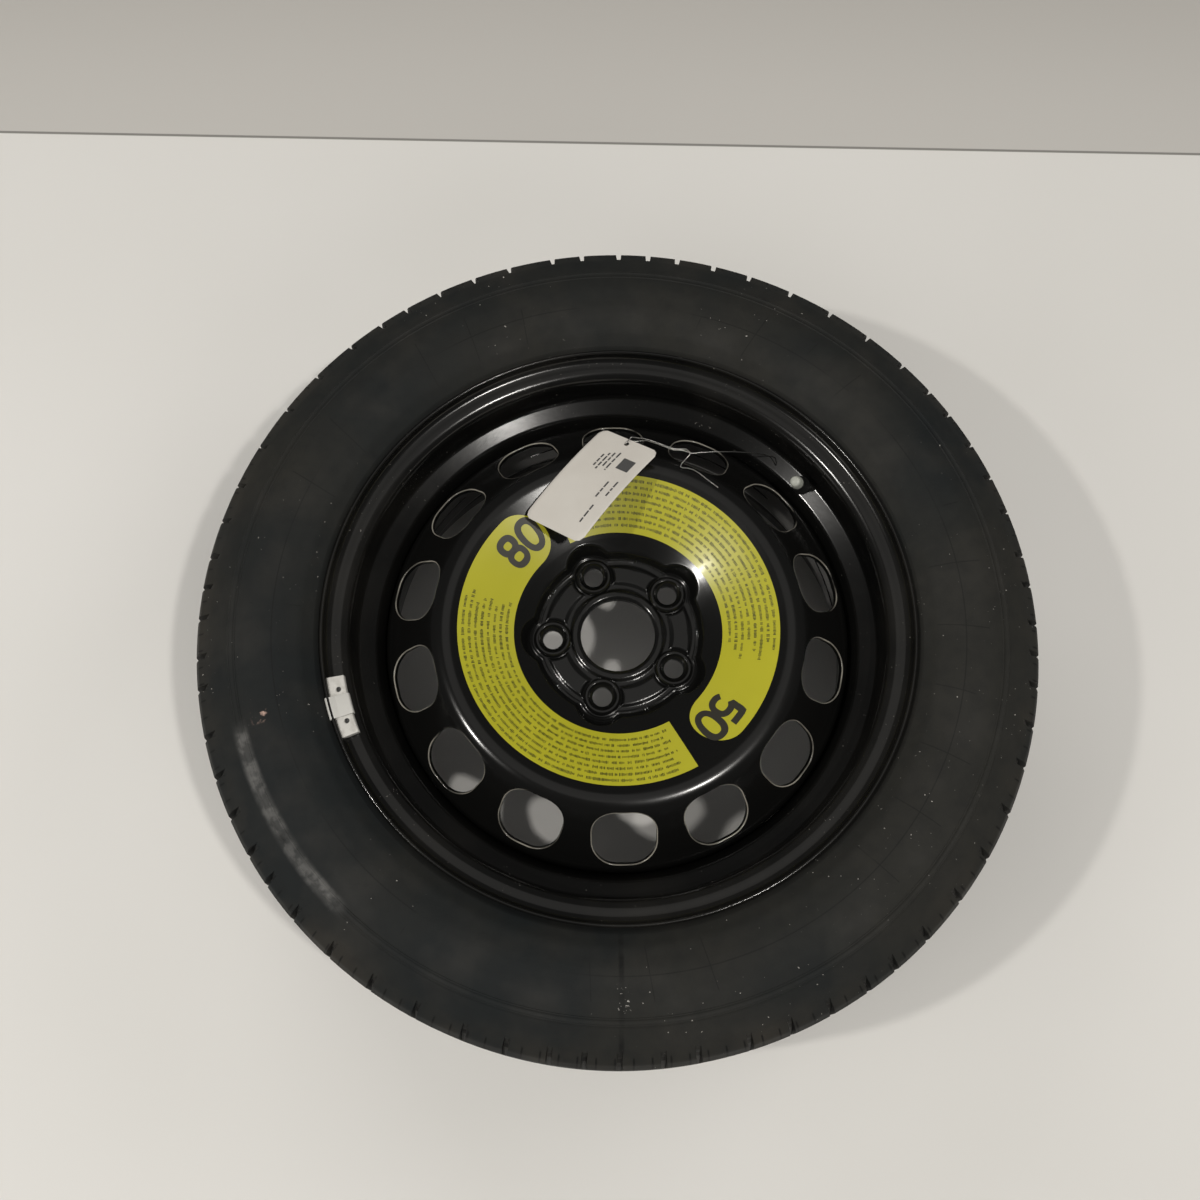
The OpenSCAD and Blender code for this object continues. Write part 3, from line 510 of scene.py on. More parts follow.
def hub_edge(r_out):
    """The outline of one bolt's patch, as seen from the bolt at angle 0."""
    w = np.linspace(-math.pi / 5, math.pi / 5, 57)
    arc_out = np.stack([r_out * np.cos(w), r_out * np.sin(w)], 1)
    w = np.linspace(math.pi / 5, -math.pi / 5, 29)
    arc_in = np.stack([BORE_R * np.cos(w), BORE_R * np.sin(w)], 1)
    f = np.linspace(0, 1, 29)[1:-1, None]
    going_in = arc_out[-1] + (arc_in[0] - arc_out[-1]) * f
    going_out = arc_in[-1] + (arc_out[0] - arc_in[-1]) * f
    return np.vstack([arc_out, going_in, arc_in, going_out])


# rings round a bolt: close together where the seat, the boss and the lobe turn
rho_steps = [
    7.5, 7.7, 8.2, 9, 9.8, 10.5, 10.9, 11.2, 11.6, 12.1, 12.6, 13, 13.4, 13.8,
    14.1, 14.5, 14.9, 15.3, 15.7, 16.1, 16.6, 17.1, 17.6, 18.1, 18.6, 19.2, 20,
]
for k in range(BOLTS):
    turn = BOLT_TURN + 2 * math.pi * k / BOLTS
    layers = []
    for height, s_side, fractions, fixed in (
        (hub_top, top_line, np.linspace(0, 1, 42)[1:], rho_steps),
        (hub_low, low_line, np.linspace(0, 1, 12)[1:], [7.5, 12, 17.5, 20]),
    ):
        border = hub_edge(on_line(s_side, S_HUB)[0])
        arm = border - [BOLT_R, 0]
        reach = np.linalg.norm(arm, axis=1)
        spoke = arm / reach[:, None]
        rings = [np.full(len(border), rho) for rho in fixed]
        rings += [20 + (reach - 20) * f for f in fractions]
        layer = []
        for rho in rings:
            xy = [BOLT_R, 0] + spoke * rho[:, None]
            z = height(xy[:, 0], xy[:, 1], rho)
            layer.append(np.column_stack([xy, z]))
        layers.append(np.array(layer))
    points = np.concatenate([layers[0][::-1], layers[1]])
    c, d = math.cos(turn), math.sin(turn)
    spin = np.array([[c, d, 0], [-d, c, 0], [0, 0, 1]])
    add(points @ spin, grid_faces(len(points), points.shape[1], close_columns=True))
    w = np.linspace(math.pi / 5, -math.pi / 5, 29)
    rim_z = float(hub_top(np.array([BORE_R]), np.array([0.0]), np.array([BOLT_R - BORE_R]))[0])
    bore = np.array([polar(BORE_R, w, z) for z in (rim_z, 0.0)])
    add(bore @ spin, grid_faces(2, bore.shape[1]))
lip = set(lip_highlight_faces)
on_lip_highlight = [i in lip for i in range(len(disc_faces))]
disc = solid("disc_sheet", np.vstack(disc_points), disc_faces, face_values=on_lip_highlight)
disc.data.materials.append(disc_paint)
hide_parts("disc")
work = bmesh.new()
work.from_mesh(disc.data)
print("disc faces", len(disc.data.polygons), "open edges", sum(len(e.link_faces) != 2 for e in work.edges))
work.free()

# %% [markdown]
# ## Tyre
# The tyre's section is turned in columns that follow the tread's pitches. Each column is either on a block
# or in a slot, and the slots fade out on the buttress.

# %% Tyre section
TYRE_R, TYRE_W, TREAD_W = 316.5, 214.0, 172.0
CURL = np.array([LIP_R - 8.1, FLANGE_MID + 8.1])
curl_turns = np.radians([-90, -75, -60, -45])
curl_back = CURL + (8.1 + RIM_T / 2 + 0.3) * np.stack([np.cos(curl_turns), np.sin(curl_turns)], 1)
out, tread_r, tread = TYRE_W / 2, TYRE_R - 4, TREAD_W / 2
edge_r = SEAT_R + 17.3 + 4.3
TOE = (SEAT_R + 0.15 - 18 * math.tan(math.radians(5)), HALF_W - 18)
bead = rounded([TOE, (SEAT_R + 0.15, HALF_W - 0.3, 7.5), tuple(curl_back[0])])
wall_rows = [
    tuple(curl_back[3]), (edge_r, HALF_W + 10.6, 1.2), (edge_r + 9, out - 6.6, 20),
    (edge_r + 25, out - 0.9, 40), (edge_r + 45, out, 40), (tread_r - 29, out - 3.8, 30),
    (tread_r - 13, out - 11.4, 20), (tread_r - 3.6, tread + 3, 7), (tread_r, tread - 5, 8),
    (TYRE_R - 0.8, tread * 0.42, 120), (TYRE_R, 0),
]
wall = rounded(wall_rows, 5)


def side_height(r):
    keep = (wall[:, 0] > edge_r + 12) & (wall[:, 1] > tread + 4)
    return np.interp(r, wall[keep, 0], wall[keep, 1])


profile = [*bead, *curl_back[1:3]]
rings = (TYRE_R - 37.2, TYRE_R - 32.8)
low_part = wall[(wall[:, 1] > 58) | (wall[:, 0] < 300)]
inserts = []
for r in rings:
    inserts += [(r - 0.9, 0), (r - 0.55, 0.35), (r - 0.25, 0.6)]
    inserts += [(r + 0.25, 0.6), (r + 0.55, 0.35), (r + 0.9, 0)]
inserts += [(r, 0) for r in np.arange(edge_r + 14, rings[0] - 2, 4.5)]
inserts += [(r, 0) for r in np.arange(rings[1] + 2, 300, 3.2)]
keep = [p for p in low_part if all(abs(p[0] - r) > 1.1 or p[1] < tread + 4 for r in rings)]
extra = [np.array([r, side_height(r) + h]) for r, h in inserts]
SHOULDER_R = 304
profile += sorted([p for p in keep + extra if p[0] < SHOULDER_R], key=lambda p: p[0])
shoulder = [p for p in keep if p[0] >= SHOULDER_R]
dense = [shoulder[0]]
for a, b in zip(shoulder, shoulder[1:]):
    count = max(1, int(np.linalg.norm(b - a) // 2.4))
    dense += [a + (b - a) * (i + 1) / count for i in range(count)]
profile += dense


def tread_radius(h):
    keep = wall[:, 0] > 300
    return np.interp(h, wall[keep, 1][::-1], wall[keep, 0][::-1])


for groove, rib_end in ((47, 23), (17, 0.0)):
    offsets, depths = [5.3, 4.9, 4.5, 4.1, 3.4], [0, 0.3, 1.2, 5.6, 7]
    heights = [groove + h for h in offsets] + [groove - h for h in offsets[::-1]]
    depths += depths[::-1]
    profile = [p for p in profile if p[0] < 300 or p[1] > heights[0] + 0.4]
    profile += [np.array([tread_radius(h) - d, h]) for h, d in zip(heights, depths)]
    profile += [np.array([tread_radius(h), h]) for h in np.linspace(groove - 6, rib_end, 5)]
upper = np.array(profile)

# %% Tread pitches
pitch_run = [5, 4, 6, 5, 5, 5, 4, 5, 6, 6, 6, 6, 5, 5, 4, 4] * 4
pitch_start = np.concatenate([[0], np.cumsum(pitch_run)]) * 2 * math.pi / sum(pitch_run)
columns, in_slot = [], []
for a, b in zip(pitch_start, pitch_start[1:]):
    lip, foot = 2.1 / TYRE_R, 1.6 / TYRE_R
    block = np.linspace(a + lip, b - lip, 4)[1:-1]
    columns += [a - lip, a - foot, a + foot, a + lip, *block]
    in_slot += [0, 1, 1, 0] + [0] * len(block)
columns, in_slot = np.array(columns), np.array(in_slot, float)
tangent = np.gradient(upper, axis=0)
normal = np.stack([-tangent[:, 1], tangent[:, 0]], 1)
normal /= np.maximum(np.linalg.norm(normal, axis=1), 1e-9)[:, None]
slot_depth = np.zeros(len(upper))
for i, (r, h) in enumerate(upper):
    if h > 53.8 and r > 298:
        depth = 5.0 * min(1.0, (h - 53.8) / 1.5) if h < 88 else 5.0 * max(0.0, min(1.0, (r - 301.3) / 7.0))
        slot_depth[i] = depth * (0.75 if h < 66 else 1.0)
inward = np.column_stack([-np.abs(normal[:, 0]), -np.abs(normal[:, 1]) * (upper[:, 1] > 60)])
inward /= np.linalg.norm(inward, axis=1)[:, None]
half_section = upper[None] + inward[None] * (slot_depth[None, :, None] * in_slot[:, None, None])
inside_rows = [
    TOE, (SEAT_R + 8, HALF_W - 15, 6), (SEAT_R + 20, HALF_W + 1, 14), (SEAT_R + 32, out - 12.5, 20),
    (SEAT_R + 47, out - 7.8, 30), (SEAT_R + 64, out - 7, 30), (SEAT_R + 82, out - 13, 25),
    (TYRE_R - 19, tread - 6, 16), (TYRE_R - 13.8, tread - 26, 30), (TYRE_R - 13, 0),
]
inside = rounded(inside_rows, 20)
inside_loop = np.vstack([inside[1:], (inside * [1, -1])[::-1][1:-1]])[::-1]

# %% Tyre mesh
# the blocks of the lower shoulder are turned a little from those of the upper one
SIDE_SHIFT, SHIFT_OVER = math.radians(2.5), 12.0
upper_rows = half_section.transpose(1, 0, 2)
lower_rows = upper_rows[-2::-1] * [1, -1]
hidden_rows = np.repeat(inside_loop[:, None], len(columns), 1)
all_rows = np.concatenate([upper_rows, lower_rows, hidden_rows])
lower_shift = SIDE_SHIFT * np.clip(upper[-2::-1, 1] / SHIFT_OVER, 0, 1)
inside_shift = np.linspace(SIDE_SHIFT, 0, len(inside_loop) + 2)[1:-1]
row_shift = np.concatenate([np.zeros(len(upper)), lower_shift, inside_shift])
points = polar(all_rows[..., 0], columns + row_shift[:, None], all_rows[..., 1] + MID_Z)
faces = grid_faces(len(all_rows), len(columns), True, True)
tyre = solid("tyre_rubber", points.reshape(-1, 3), faces, sharp=50)
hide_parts("tyre")
print("tyre faces", len(tyre.data.polygons), "columns", len(columns), "rows", len(all_rows))

# %% Rubber
rubber, base = shader("tyre_rubber", (0.02, 0.021, 0.02), 0.7, specular=0.25)
far = radius(rubber)
spot = node(rubber, "ShaderNodeSeparateXYZ", {0: place(rubber)}).outputs
turn = times(rubber, spot[1], spot[0], "ARCTAN2")


def product(*factors):
    """The product of several values of the rubber's tree."""
    whole = factors[0]
    for factor in factors[1:]:
        whole = times(rubber, whole, factor)
    return whole


def lay(color, amount, tone):
    """The rubber's colour with a tone laid over it by an amount."""
    return mixed(rubber, amount, color, tone)


def between(value, low, high, soft):
    """1 from low to high, falling to 0 over soft on each side."""
    return product(band(rubber, value, low - soft, low), band(rubber, value, high + soft, high))


def mark(angle, low, high, wide):
    """1 on a radial line at an angle in degrees, from radius low to high, wide in metres."""
    aside = times(rubber, turn, math.radians(angle), "SUBTRACT")
    away = product(times(rubber, aside, 0.0, "ABSOLUTE"), far)
    return product(band(rubber, away, wide, wide * 0.3), between(far, low, high, 0.004))


def from_middle(value):
    """How far the fraction of a value is from one half."""
    fraction = times(rubber, value, 1.0, "FRACT")
    return times(rubber, times(rubber, fraction, 0.5, "SUBTRACT"), 0.0, "ABSOLUTE")


# %% Dust and mottling
cloud = noise(rubber, 6, 6, 0.4, 0.62)
patch = noise(rubber, 19, 6, 0.46, 0.66)
grain = noise(rubber, 90, 5, 0.4, 0.75)
color = mixed(rubber, cloud, (0.0095, 0.0115, 0.012), (0.018, 0.0178, 0.0155))
color = lay(color, product(patch, 0.5), (0.024, 0.0228, 0.02))
color = lay(color, product(grain, 0.35), (0.0075, 0.008, 0.0085))
shoulder_dust = product(band(rubber, far, 0.29, 0.309), noise(rubber, 24, 5, 0.44, 0.7))
color = lay(color, product(shoulder_dust, 0.4), (0.04, 0.034, 0.026))

# %% Sipes, painted as dark lines of shade
SIPES = 153
# dark lines across the shoulder: painted shade standing in for the cuts of the sipes
sipe_shade = band(rubber, from_middle(product(turn, SIPES / (2 * math.pi))), 0.07, 0.03)
color = lay(color, product(sipe_shade, between(far, 0.3055, 0.33, 0.002), 0.85), (0.003, 0.003, 0.003))

# %% Scuffs and grit
fine = times(rubber, product(noise(rubber, 130, 6, 0.42, 0.58), 0.6), 0.4, "ADD")
streak_turn = between(turn, math.radians(-160), math.radians(-135), math.radians(4))
streak = product(between(far, 0.2795, 0.2845, 0.0045), streak_turn, noise(rubber, 30, 5, 0.3, 0.56))
color = lay(color, product(streak, fine, 0.8), (0.13, 0.128, 0.124))
specks = product(noise(rubber, 430, 2, 0.745, 0.76), noise(rubber, 9, 2, 0.5, 0.6))
color = lay(color, product(specks, 0.8), (0.45, 0.43, 0.4))
SEAM = -89.8
seam = product(mark(SEAM, 0.226, 0.3, 0.0026), noise(rubber, 45, 4, 0.34, 0.55))
color = lay(color, product(seam, 0.75), (0.004, 0.004, 0.004))
flecks = product(mark(SEAM + 0.3, 0.26, 0.272, 0.006), noise(rubber, 520, 2, 0.62, 0.68))
color = lay(color, flecks, (0.5, 0.48, 0.45))
scuff = product(mark(-163.3, 0.263, 0.269, 0.006), noise(rubber, 160, 3, 0.5, 0.6))
color = lay(color, scuff, (0.42, 0.29, 0.24))

# %% Mould lines, painted as dark lines of shade
MOULD_LINES = 36
wander = product(noise(rubber, 3, 0), 1.6)
across_lines = times(rubber, product(turn, MOULD_LINES / (2 * math.pi)), wander, "ADD")
on_lines = product(band(rubber, from_middle(across_lines), 0.012, 0.005), between(far, 0.234, 0.268, 0.002))
mould_line_shade = product(on_lines, noise(rubber, 13, 3, 0.5, 0.53))
ring = product(between(far, 0.2518, 0.2522, 0.0004), noise(rubber, 9, 3, 0.45, 0.52))
# the mould ribs and the ring line are painted dark: painted shade in place of their relief
color = lay(color, product(times(rubber, mould_line_shade, ring, "MAXIMUM"), 0.55), (0.005, 0.005, 0.005))
link(rubber, color, base.inputs["Base Color"])
link(rubber, times(rubber, product(patch, -0.12), 0.72, "ADD"), base.inputs["Roughness"])
bump(rubber, base, noise(rubber, 240, 4), 0.0002, 0.6)
tyre.data.materials.append(rubber)

# %% [markdown]
# ## Films
# Each film follows the dish. One end is cut straight and the other is round. Its print is two plain digits
# and rows of small bars.

# %% Films
FILM_IN, FILM_OUT, FILM_ROWS, FILM_COLUMNS = 79.2, 120.5, 25, 90
film_paint, base = shader("film", (0.36, 0.345, 0.012), 0.3, coat=0.2)
tint = mixed(film_paint, noise(film_paint, 12, 3, 0.3, 0.7), (0.37, 0.352, 0.017), (0.42, 0.395, 0.024))
link(film_paint, tint, base.inputs["Base Color"])


def dish_height(r):
    return np.interp(r, top_line[:, 0], top_line[:, 1])


def film(name, node_name, start, end):
    """A film from start to end in degrees, with a round end before start and a straight one at end."""
    reach, middle_r = (FILM_OUT - FILM_IN) / 2, (FILM_IN + FILM_OUT) / 2
    r = middle_r - reach * np.cos(np.linspace(0, math.pi, FILM_ROWS))
    bulge = np.sqrt(np.maximum(reach**2 - (r - middle_r) ** 2, 0)) / r
    first, last = np.radians(start) - bulge, np.radians(end)
    angle = first[:, None] + (last - first)[:, None] * np.linspace(0, 1, FILM_COLUMNS)
    over = polar(r[:, None], angle, dish_height(r)[:, None] + 0.17)
    under = polar(r[:, None], angle, dish_height(r)[:, None] + 0.03)
    count = FILM_ROWS * FILM_COLUMNS
    faces = grid_faces(FILM_ROWS, FILM_COLUMNS) + grid_faces(FILM_ROWS, FILM_COLUMNS, start=count)
    index = np.arange(count).reshape(FILM_ROWS, FILM_COLUMNS)
    edge_parts = (index[0], index[1:, -1], index[-1, -2::-1], index[-2:0:-1, 0])
    rim_of = np.concatenate(edge_parts).tolist()
    faces += [[p, q, q + count, p + count] for p, q in zip(rim_of, rim_of[1:] + rim_of[:1])]
    made = solid(name, np.vstack([over.reshape(-1, 3), under.reshape(-1, 3)]), faces, sharp=60)
    made.data.materials.append(film_paint)
    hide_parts(node_name)
    return made


film("film_left", "sticker_left", 137.5, 298.4)
film("film_right", "sticker_right", -41.9, 117.9)

# %% [markdown]
# The small print is a geometry node tree: a row of short ticks on an arc, thinned out into words.

# %% Print rows
ink, _ = shader("ink", (0.028, 0.026, 0.02), 0.45)
soft_ink, _ = shader("small_print", (0.06, 0.06, 0.01), 0.45)


def print_tree():
    """A node group that lays one row of ticks along an arc."""
    tree = bpy.data.node_groups.new("print_row", "GeometryNodeTree")
    sizes = {"Radius": 0.1, "Height": 0.02, "Start": 0.0, "Sweep": 1.0, "Letter": 0.0018, "Slope": 0.4}
    counts = {"Ticks": 100, "Seed": 1}
    for name, value in {**sizes, **counts}.items():
        kind = "NodeSocketInt" if name in counts else "NodeSocketFloat"
        tree.interface.new_socket(name, in_out="INPUT", socket_type=kind).default_value = value
    tree.interface.new_socket("Ink", in_out="INPUT", socket_type="NodeSocketMaterial")
    tree.interface.new_socket("Geometry", in_out="OUTPUT", socket_type="NodeSocketGeometry")

    def new(kind, **settings):
        made = tree.nodes.new(kind)
        for key, value in settings.items():
            setattr(made, key, value)
        return made

    def math_node(operation, a, b):
        made = new("ShaderNodeMath", operation=operation)
        for k, value in enumerate((a, b)):
            if isinstance(value, bpy.types.NodeSocket):
                tree.links.new(value, made.inputs[k])
            else:
                made.inputs[k].default_value = value
        return made.outputs[0]

    given = new("NodeGroupInput").outputs
    line = new("GeometryNodeMeshLine")
    tree.links.new(given["Ticks"], line.inputs["Count"])
    share = math_node("DIVIDE", new("GeometryNodeInputIndex").outputs[0], given["Ticks"])
    angle = math_node("ADD", given["Start"], math_node("MULTIPLY", share, given["Sweep"]))
    spot = new("ShaderNodeCombineXYZ")
    tree.links.new(math_node("MULTIPLY", given["Radius"], math_node("COSINE", angle, 0.0)), spot.inputs[0])
    tree.links.new(math_node("MULTIPLY", given["Radius"], math_node("SINE", angle, 0.0)), spot.inputs[1])
    tree.links.new(given["Height"], spot.inputs[2])
    laid = new("GeometryNodeSetPosition")
    tree.links.new(line.outputs[0], laid.inputs["Geometry"])
    tree.links.new(spot.outputs[0], laid.inputs["Position"])
    words = new("ShaderNodeTexNoise", noise_dimensions="1D")
    words.inputs["Scale"].default_value = 1.0
    words.inputs["Detail"].default_value = 0.0
    run = math_node("MULTIPLY", new("GeometryNodeInputIndex").outputs[0], 0.37)
    tree.links.new(math_node("ADD", run, math_node("MULTIPLY", given["Seed"], 71.3)), words.inputs["W"])
    gap = math_node("GREATER_THAN", words.outputs["Fac"], 0.62)
    thinned = new("GeometryNodeDeleteGeometry", domain="POINT")
    tree.links.new(gap, thinned.inputs["Selection"])
    tick = new("GeometryNodeMeshGrid")
    tick.inputs["Size Y"].default_value = 0.00055
    tick.inputs["Vertices X"].default_value = 2
    tick.inputs["Vertices Y"].default_value = 2
    tree.links.new(given["Letter"], tick.inputs["Size X"])
    turn = new("ShaderNodeCombineXYZ")
    tree.links.new(math_node("MULTIPLY", given["Slope"], -1.0), turn.inputs[1])
    tree.links.new(angle, turn.inputs[2])
    stored = new("GeometryNodeStoreNamedAttribute", data_type="FLOAT_VECTOR", domain="POINT")
    stored.inputs["Name"].default_value = "turn"
    tree.links.new(laid.outputs[0], stored.inputs["Geometry"])
    tree.links.new(turn.outputs[0], stored.inputs["Value"])
    tree.links.new(stored.outputs[0], thinned.inputs["Geometry"])
    ticks = new("GeometryNodeInstanceOnPoints")
    tree.links.new(thinned.outputs[0], ticks.inputs["Points"])
    read = new("GeometryNodeInputNamedAttribute", data_type="FLOAT_VECTOR")
    read.inputs["Name"].default_value = "turn"
    size = new("FunctionNodeRandomValue", data_type="FLOAT_VECTOR")
    size.inputs[0].default_value = (0.55, 0.7, 1)
    size.inputs[1].default_value = (1.1, 1.5, 1)
    tree.links.new(given["Seed"], size.inputs["Seed"])
    tree.links.new(tick.outputs[0], ticks.inputs["Instance"])
    tree.links.new(read.outputs["Attribute"], ticks.inputs["Rotation"])
    tree.links.new(size.outputs[0], ticks.inputs["Scale"])
    real = new("GeometryNodeRealizeInstances")
    tree.links.new(ticks.outputs[0], real.inputs[0])
    inked = new("GeometryNodeSetMaterial")
    tree.links.new(real.outputs[0], inked.inputs["Geometry"])
    tree.links.new(given["Ink"], inked.inputs["Material"])
    tree.links.new(inked.outputs[0], new("NodeGroupOutput").inputs[0])
    return tree


row_tree = print_tree()


def made_by(tree, name, **values):
    """The plain mesh that a node tree makes from named inputs."""
    holder = bpy.data.objects.new(name, bpy.data.meshes.new(name))
    bpy.context.scene.collection.objects.link(holder)
    modifier = holder.modifiers.new("nodes", "NODES")
    modifier.node_group = tree
    sockets = {item.name: item.identifier for item in tree.interface.items_tree if item.in_out == "INPUT"}
    for key, value in values.items():
        modifier[sockets[key]] = value
    bpy.context.view_layer.update()
    graph = bpy.context.evaluated_depsgraph_get()
    mesh = bpy.data.meshes.new_from_object(holder.evaluated_get(graph), depsgraph=graph)
    holder.modifiers.clear()
    bpy.data.objects.remove(holder)
    return mesh


def joined(name, meshes, body="wheel"):
    """One object from several meshes."""
    work = bmesh.new()
    for mesh in meshes:
        work.from_mesh(mesh)
    whole = bpy.data.meshes.new(name)
    work.to_mesh(whole)
    work.free()
    for material in meshes[0].materials:
        whole.materials.append(material)
    thing = bpy.data.objects.new(name, whole)
    bpy.context.scene.collection.objects.link(thing)
    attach(thing, body)
    return thing


TICK_PITCH = 1.05


def print_rows(name, spans):
    """Rows of small print at (radius, start, end) spans in degrees."""
    meshes = []
    for k, (r, start, end) in enumerate(spans):
        sweep = math.radians(end - start)
        slope = math.atan((dish_height(r + 1) - dish_height(r - 1)) / 2)
        sizes = {
            "Radius": r * MM, "Height": float(dish_height(r) + 0.3) * MM, "Start": math.radians(start),
            "Sweep": sweep, "Letter": 0.0024, "Slope": slope,
        }
        ticks = int(sweep * r / TICK_PITCH)
        meshes.append(made_by(row_tree, f"row_{k}", Ticks=ticks, Seed=k + 1, Ink=soft_ink, **sizes))
    made = joined(name, meshes)
    return made


row_radii = np.linspace(84.5, 116.5, 8)
print_rows("print_left", [(float(r), 166 + (k % 3) * 2, 295 - (k % 2) * 3) for k, r in enumerate(row_radii)])
print_rows("print_right", [(float(r), -6 - (k % 3) * 4, 114 - (k % 2) * 2) for k, r in enumerate(row_radii)])


# %% Digits
def stroke(points, width):
    """Two edges of a stroke of a width along a closed or open line."""
    points = np.asarray(points, float)
    closed = np.allclose(points[0], points[-1])
    ahead = np.roll(points[:-1], -1, 0) if closed else None
    if closed:
        ring = points[:-1]
        leg = ahead - np.roll(ring, 1, 0)
    else:
        ring = points
        leg = np.gradient(ring, axis=0)
    leg /= np.linalg.norm(leg, axis=1)[:, None]
    left = np.stack([-leg[:, 1], leg[:, 0]], 1)
    return ring + left * width / 2, ring - left * width / 2, closed


def oval(cx, cy, a, b, start=0.0, end=360.0, count=40, power=2.4):
    """A rounded oval, or a part of it from start to end in degrees."""
    w = np.radians(np.linspace(start, end, count))
    c, s = np.cos(w), np.sin(w)
    x = cx + a * np.sign(c) * np.abs(c) ** (2 / power)
    y = cy + b * np.sign(s) * np.abs(s) ** (2 / power)
    return np.stack([x, y], 1)


top_bar = np.linspace((5.2, 8.9), (-3.7, 8.9), 8)
stem = np.linspace((-3.7, 8.9), (-4.7, 0.7), 8)[1:]
DIGITS = {
    "0": [oval(0, 0, 5.6, 8.9)],
    "8": [oval(0, 4.4, 4.6, 4.3), oval(0, -4.5, 5.4, 4.6)],
    "5": [np.vstack([top_bar, stem, oval(0, -3.4, 5.6, 5.5, 140, -140, 30)])],
}
DIGIT_SIZE, DIGIT_STROKE = 1.22, 4.1


def digit(shape, angle, r_mid):
    """A digit's strokes laid on the dish with its top outwards, as points and faces."""
    points, faces = [], []
    for line in DIGITS[shape]:
        a, b, closed = stroke(line * DIGIT_SIZE, DIGIT_STROKE * DIGIT_SIZE)
        flat = np.stack([a, (a + b) / 2, b])
        r = r_mid + flat[..., 1]
        w = math.radians(angle) - flat[..., 0] / r_mid
        start = sum(len(p) for p in points)
        points.append(polar(r, w, dish_height(r) + 0.24).reshape(-1, 3))
        faces += grid_faces(3, flat.shape[1], close_columns=closed, start=start)
    return np.vstack(points), faces


number_marks = {
    "digits_left": [("8", 143.3, 100.2), ("0", 132.6, 100.2)],
    "digits_right": [("5", -37.6, 100.6), ("0", -47.5, 100.6)],
}
for name, marks in number_marks.items():
    points, faces = [], []
    for shape, angle, r_mid in marks:
        p, f = digit(shape, angle, r_mid)
        start = sum(len(x) for x in points)
        points.append(p)
        faces += [[start + v for v in face] for face in f]
    made = solid(name, np.vstack(points), faces)
    made.data.materials.append(ink)

# %% [markdown]
# ## Card tag and tie wire
# The card is bowed along its length. The wire is a tube along its bent route.

# %% Card
TAG_W, TAG_L, TAG_T, BOW_R = 58.0, 98.0, 0.4, 363.0
TAG_MIDDLE, TAG_TURN = np.array([-21.6, 108.45, 48.95]), np.radians([5.4, 25.3, 144.3])
ca, cb, cc = np.cos(TAG_TURN)
sa, sb, sc = np.sin(TAG_TURN)
about_x = np.array([[1, 0, 0], [0, ca, -sa], [0, sa, ca]])
about_y = np.array([[cb, 0, sb], [0, 1, 0], [-sb, 0, cb]])
about_z = np.array([[cc, -sc, 0], [sc, cc, 0], [0, 0, 1]])
tag_matrix = about_z @ about_y @ about_x


def tag_at(x, y, h):
    """Points over the bowed card: x across it, y along it, h above its underside."""
    x, y, h = np.broadcast_arrays(np.asarray(x, float), y, h)
    w, r = y / BOW_R, BOW_R + h
    return TAG_MIDDLE + np.stack([x, r * np.sin(w), r * np.cos(w) - BOW_R], -1) @ tag_matrix.T


HOLE_Y, CARD_HOLE_R, CARD_CORNER, CARD_SIDES = 5 - TAG_L / 2, 2.0, 6.0, 96
rim_xy = outline(np.linspace(0, 2 * math.pi, CARD_SIDES, endpoint=False), TAG_W / 2, TAG_L / 2, CARD_CORNER)
around = np.arctan2(rim_xy[:, 1] - HOLE_Y, rim_xy[:, 0])
hole_xy = np.stack([CARD_HOLE_R * np.cos(around), HOLE_Y + CARD_HOLE_R * np.sin(around)], 1)


def card_ring(share, h):
    """The points a share of the way from the hole to the card's rim, at height h over its underside."""
    xy = hole_xy + (rim_xy - hole_xy) * share
    return tag_at(xy[:, 0], xy[:, 1], h)


rings = [card_ring(share, TAG_T) for share in (0, 0.08, 0.2, 0.35, 0.5, 0.65, 0.8, 0.92, 0.997)]
rings += [card_ring(1, TAG_T * 0.8), card_ring(1, TAG_T * 0.2)]
rings += [card_ring(share, 0.0) for share in (0.997, 0.9, 0.75, 0.6, 0.45, 0.3, 0.15, 0)]
card = solid("card", np.concatenate(rings), grid_faces(len(rings), CARD_SIDES, True, True), sharp=50)
card_paint, base = shader("card", (0.6, 0.575, 0.53), 0.42)
tint = mixed(card_paint, noise(card_paint, 30, 4, 0.3, 0.8), (0.61, 0.585, 0.54), (0.55, 0.52, 0.475))
link(card_paint, tint, base.inputs["Base Color"])
card.data.materials.append(card_paint)
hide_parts("tag")

# %% Card print
bars, faces = [], []
rng = np.random.default_rng(4)


def bar(x0, y0, x1, y1):
    """A printed bar between two corners on the card."""
    x, y = np.linspace(x0, x1, 3), np.linspace(y0, y1, 5)
    start = sum(len(b) for b in bars)
    bars.append(tag_at(x[None, :], y[:, None], TAG_T + 0.05).reshape(-1, 3))
    faces.extend(grid_faces(5, 3, start=start))


bar_rows = (
    (-2.5, -34, -14), (1.6, -32, -16), (5.2, -30, -12), (9, -27, -14),
    (-13.5, -6, 10), (-20.5, -9, 6), (-17, 17, 34),
)
for x, y0, y1 in bar_rows:
    y = y0
    while y < y1:
        step = float(rng.uniform(2.0, 6.0))
        bar(x - 0.75, y, x + 0.75, min(y + step, y1))
        y += step + 1.1
bar(-20.5, -31.0, -9.0, -19.5)
card_print = solid("card_print", np.vstack(bars), faces)
card_ink, _ = shader("card_ink", (0.07, 0.07, 0.07), 0.5)
card_print.data.materials.append(card_ink)

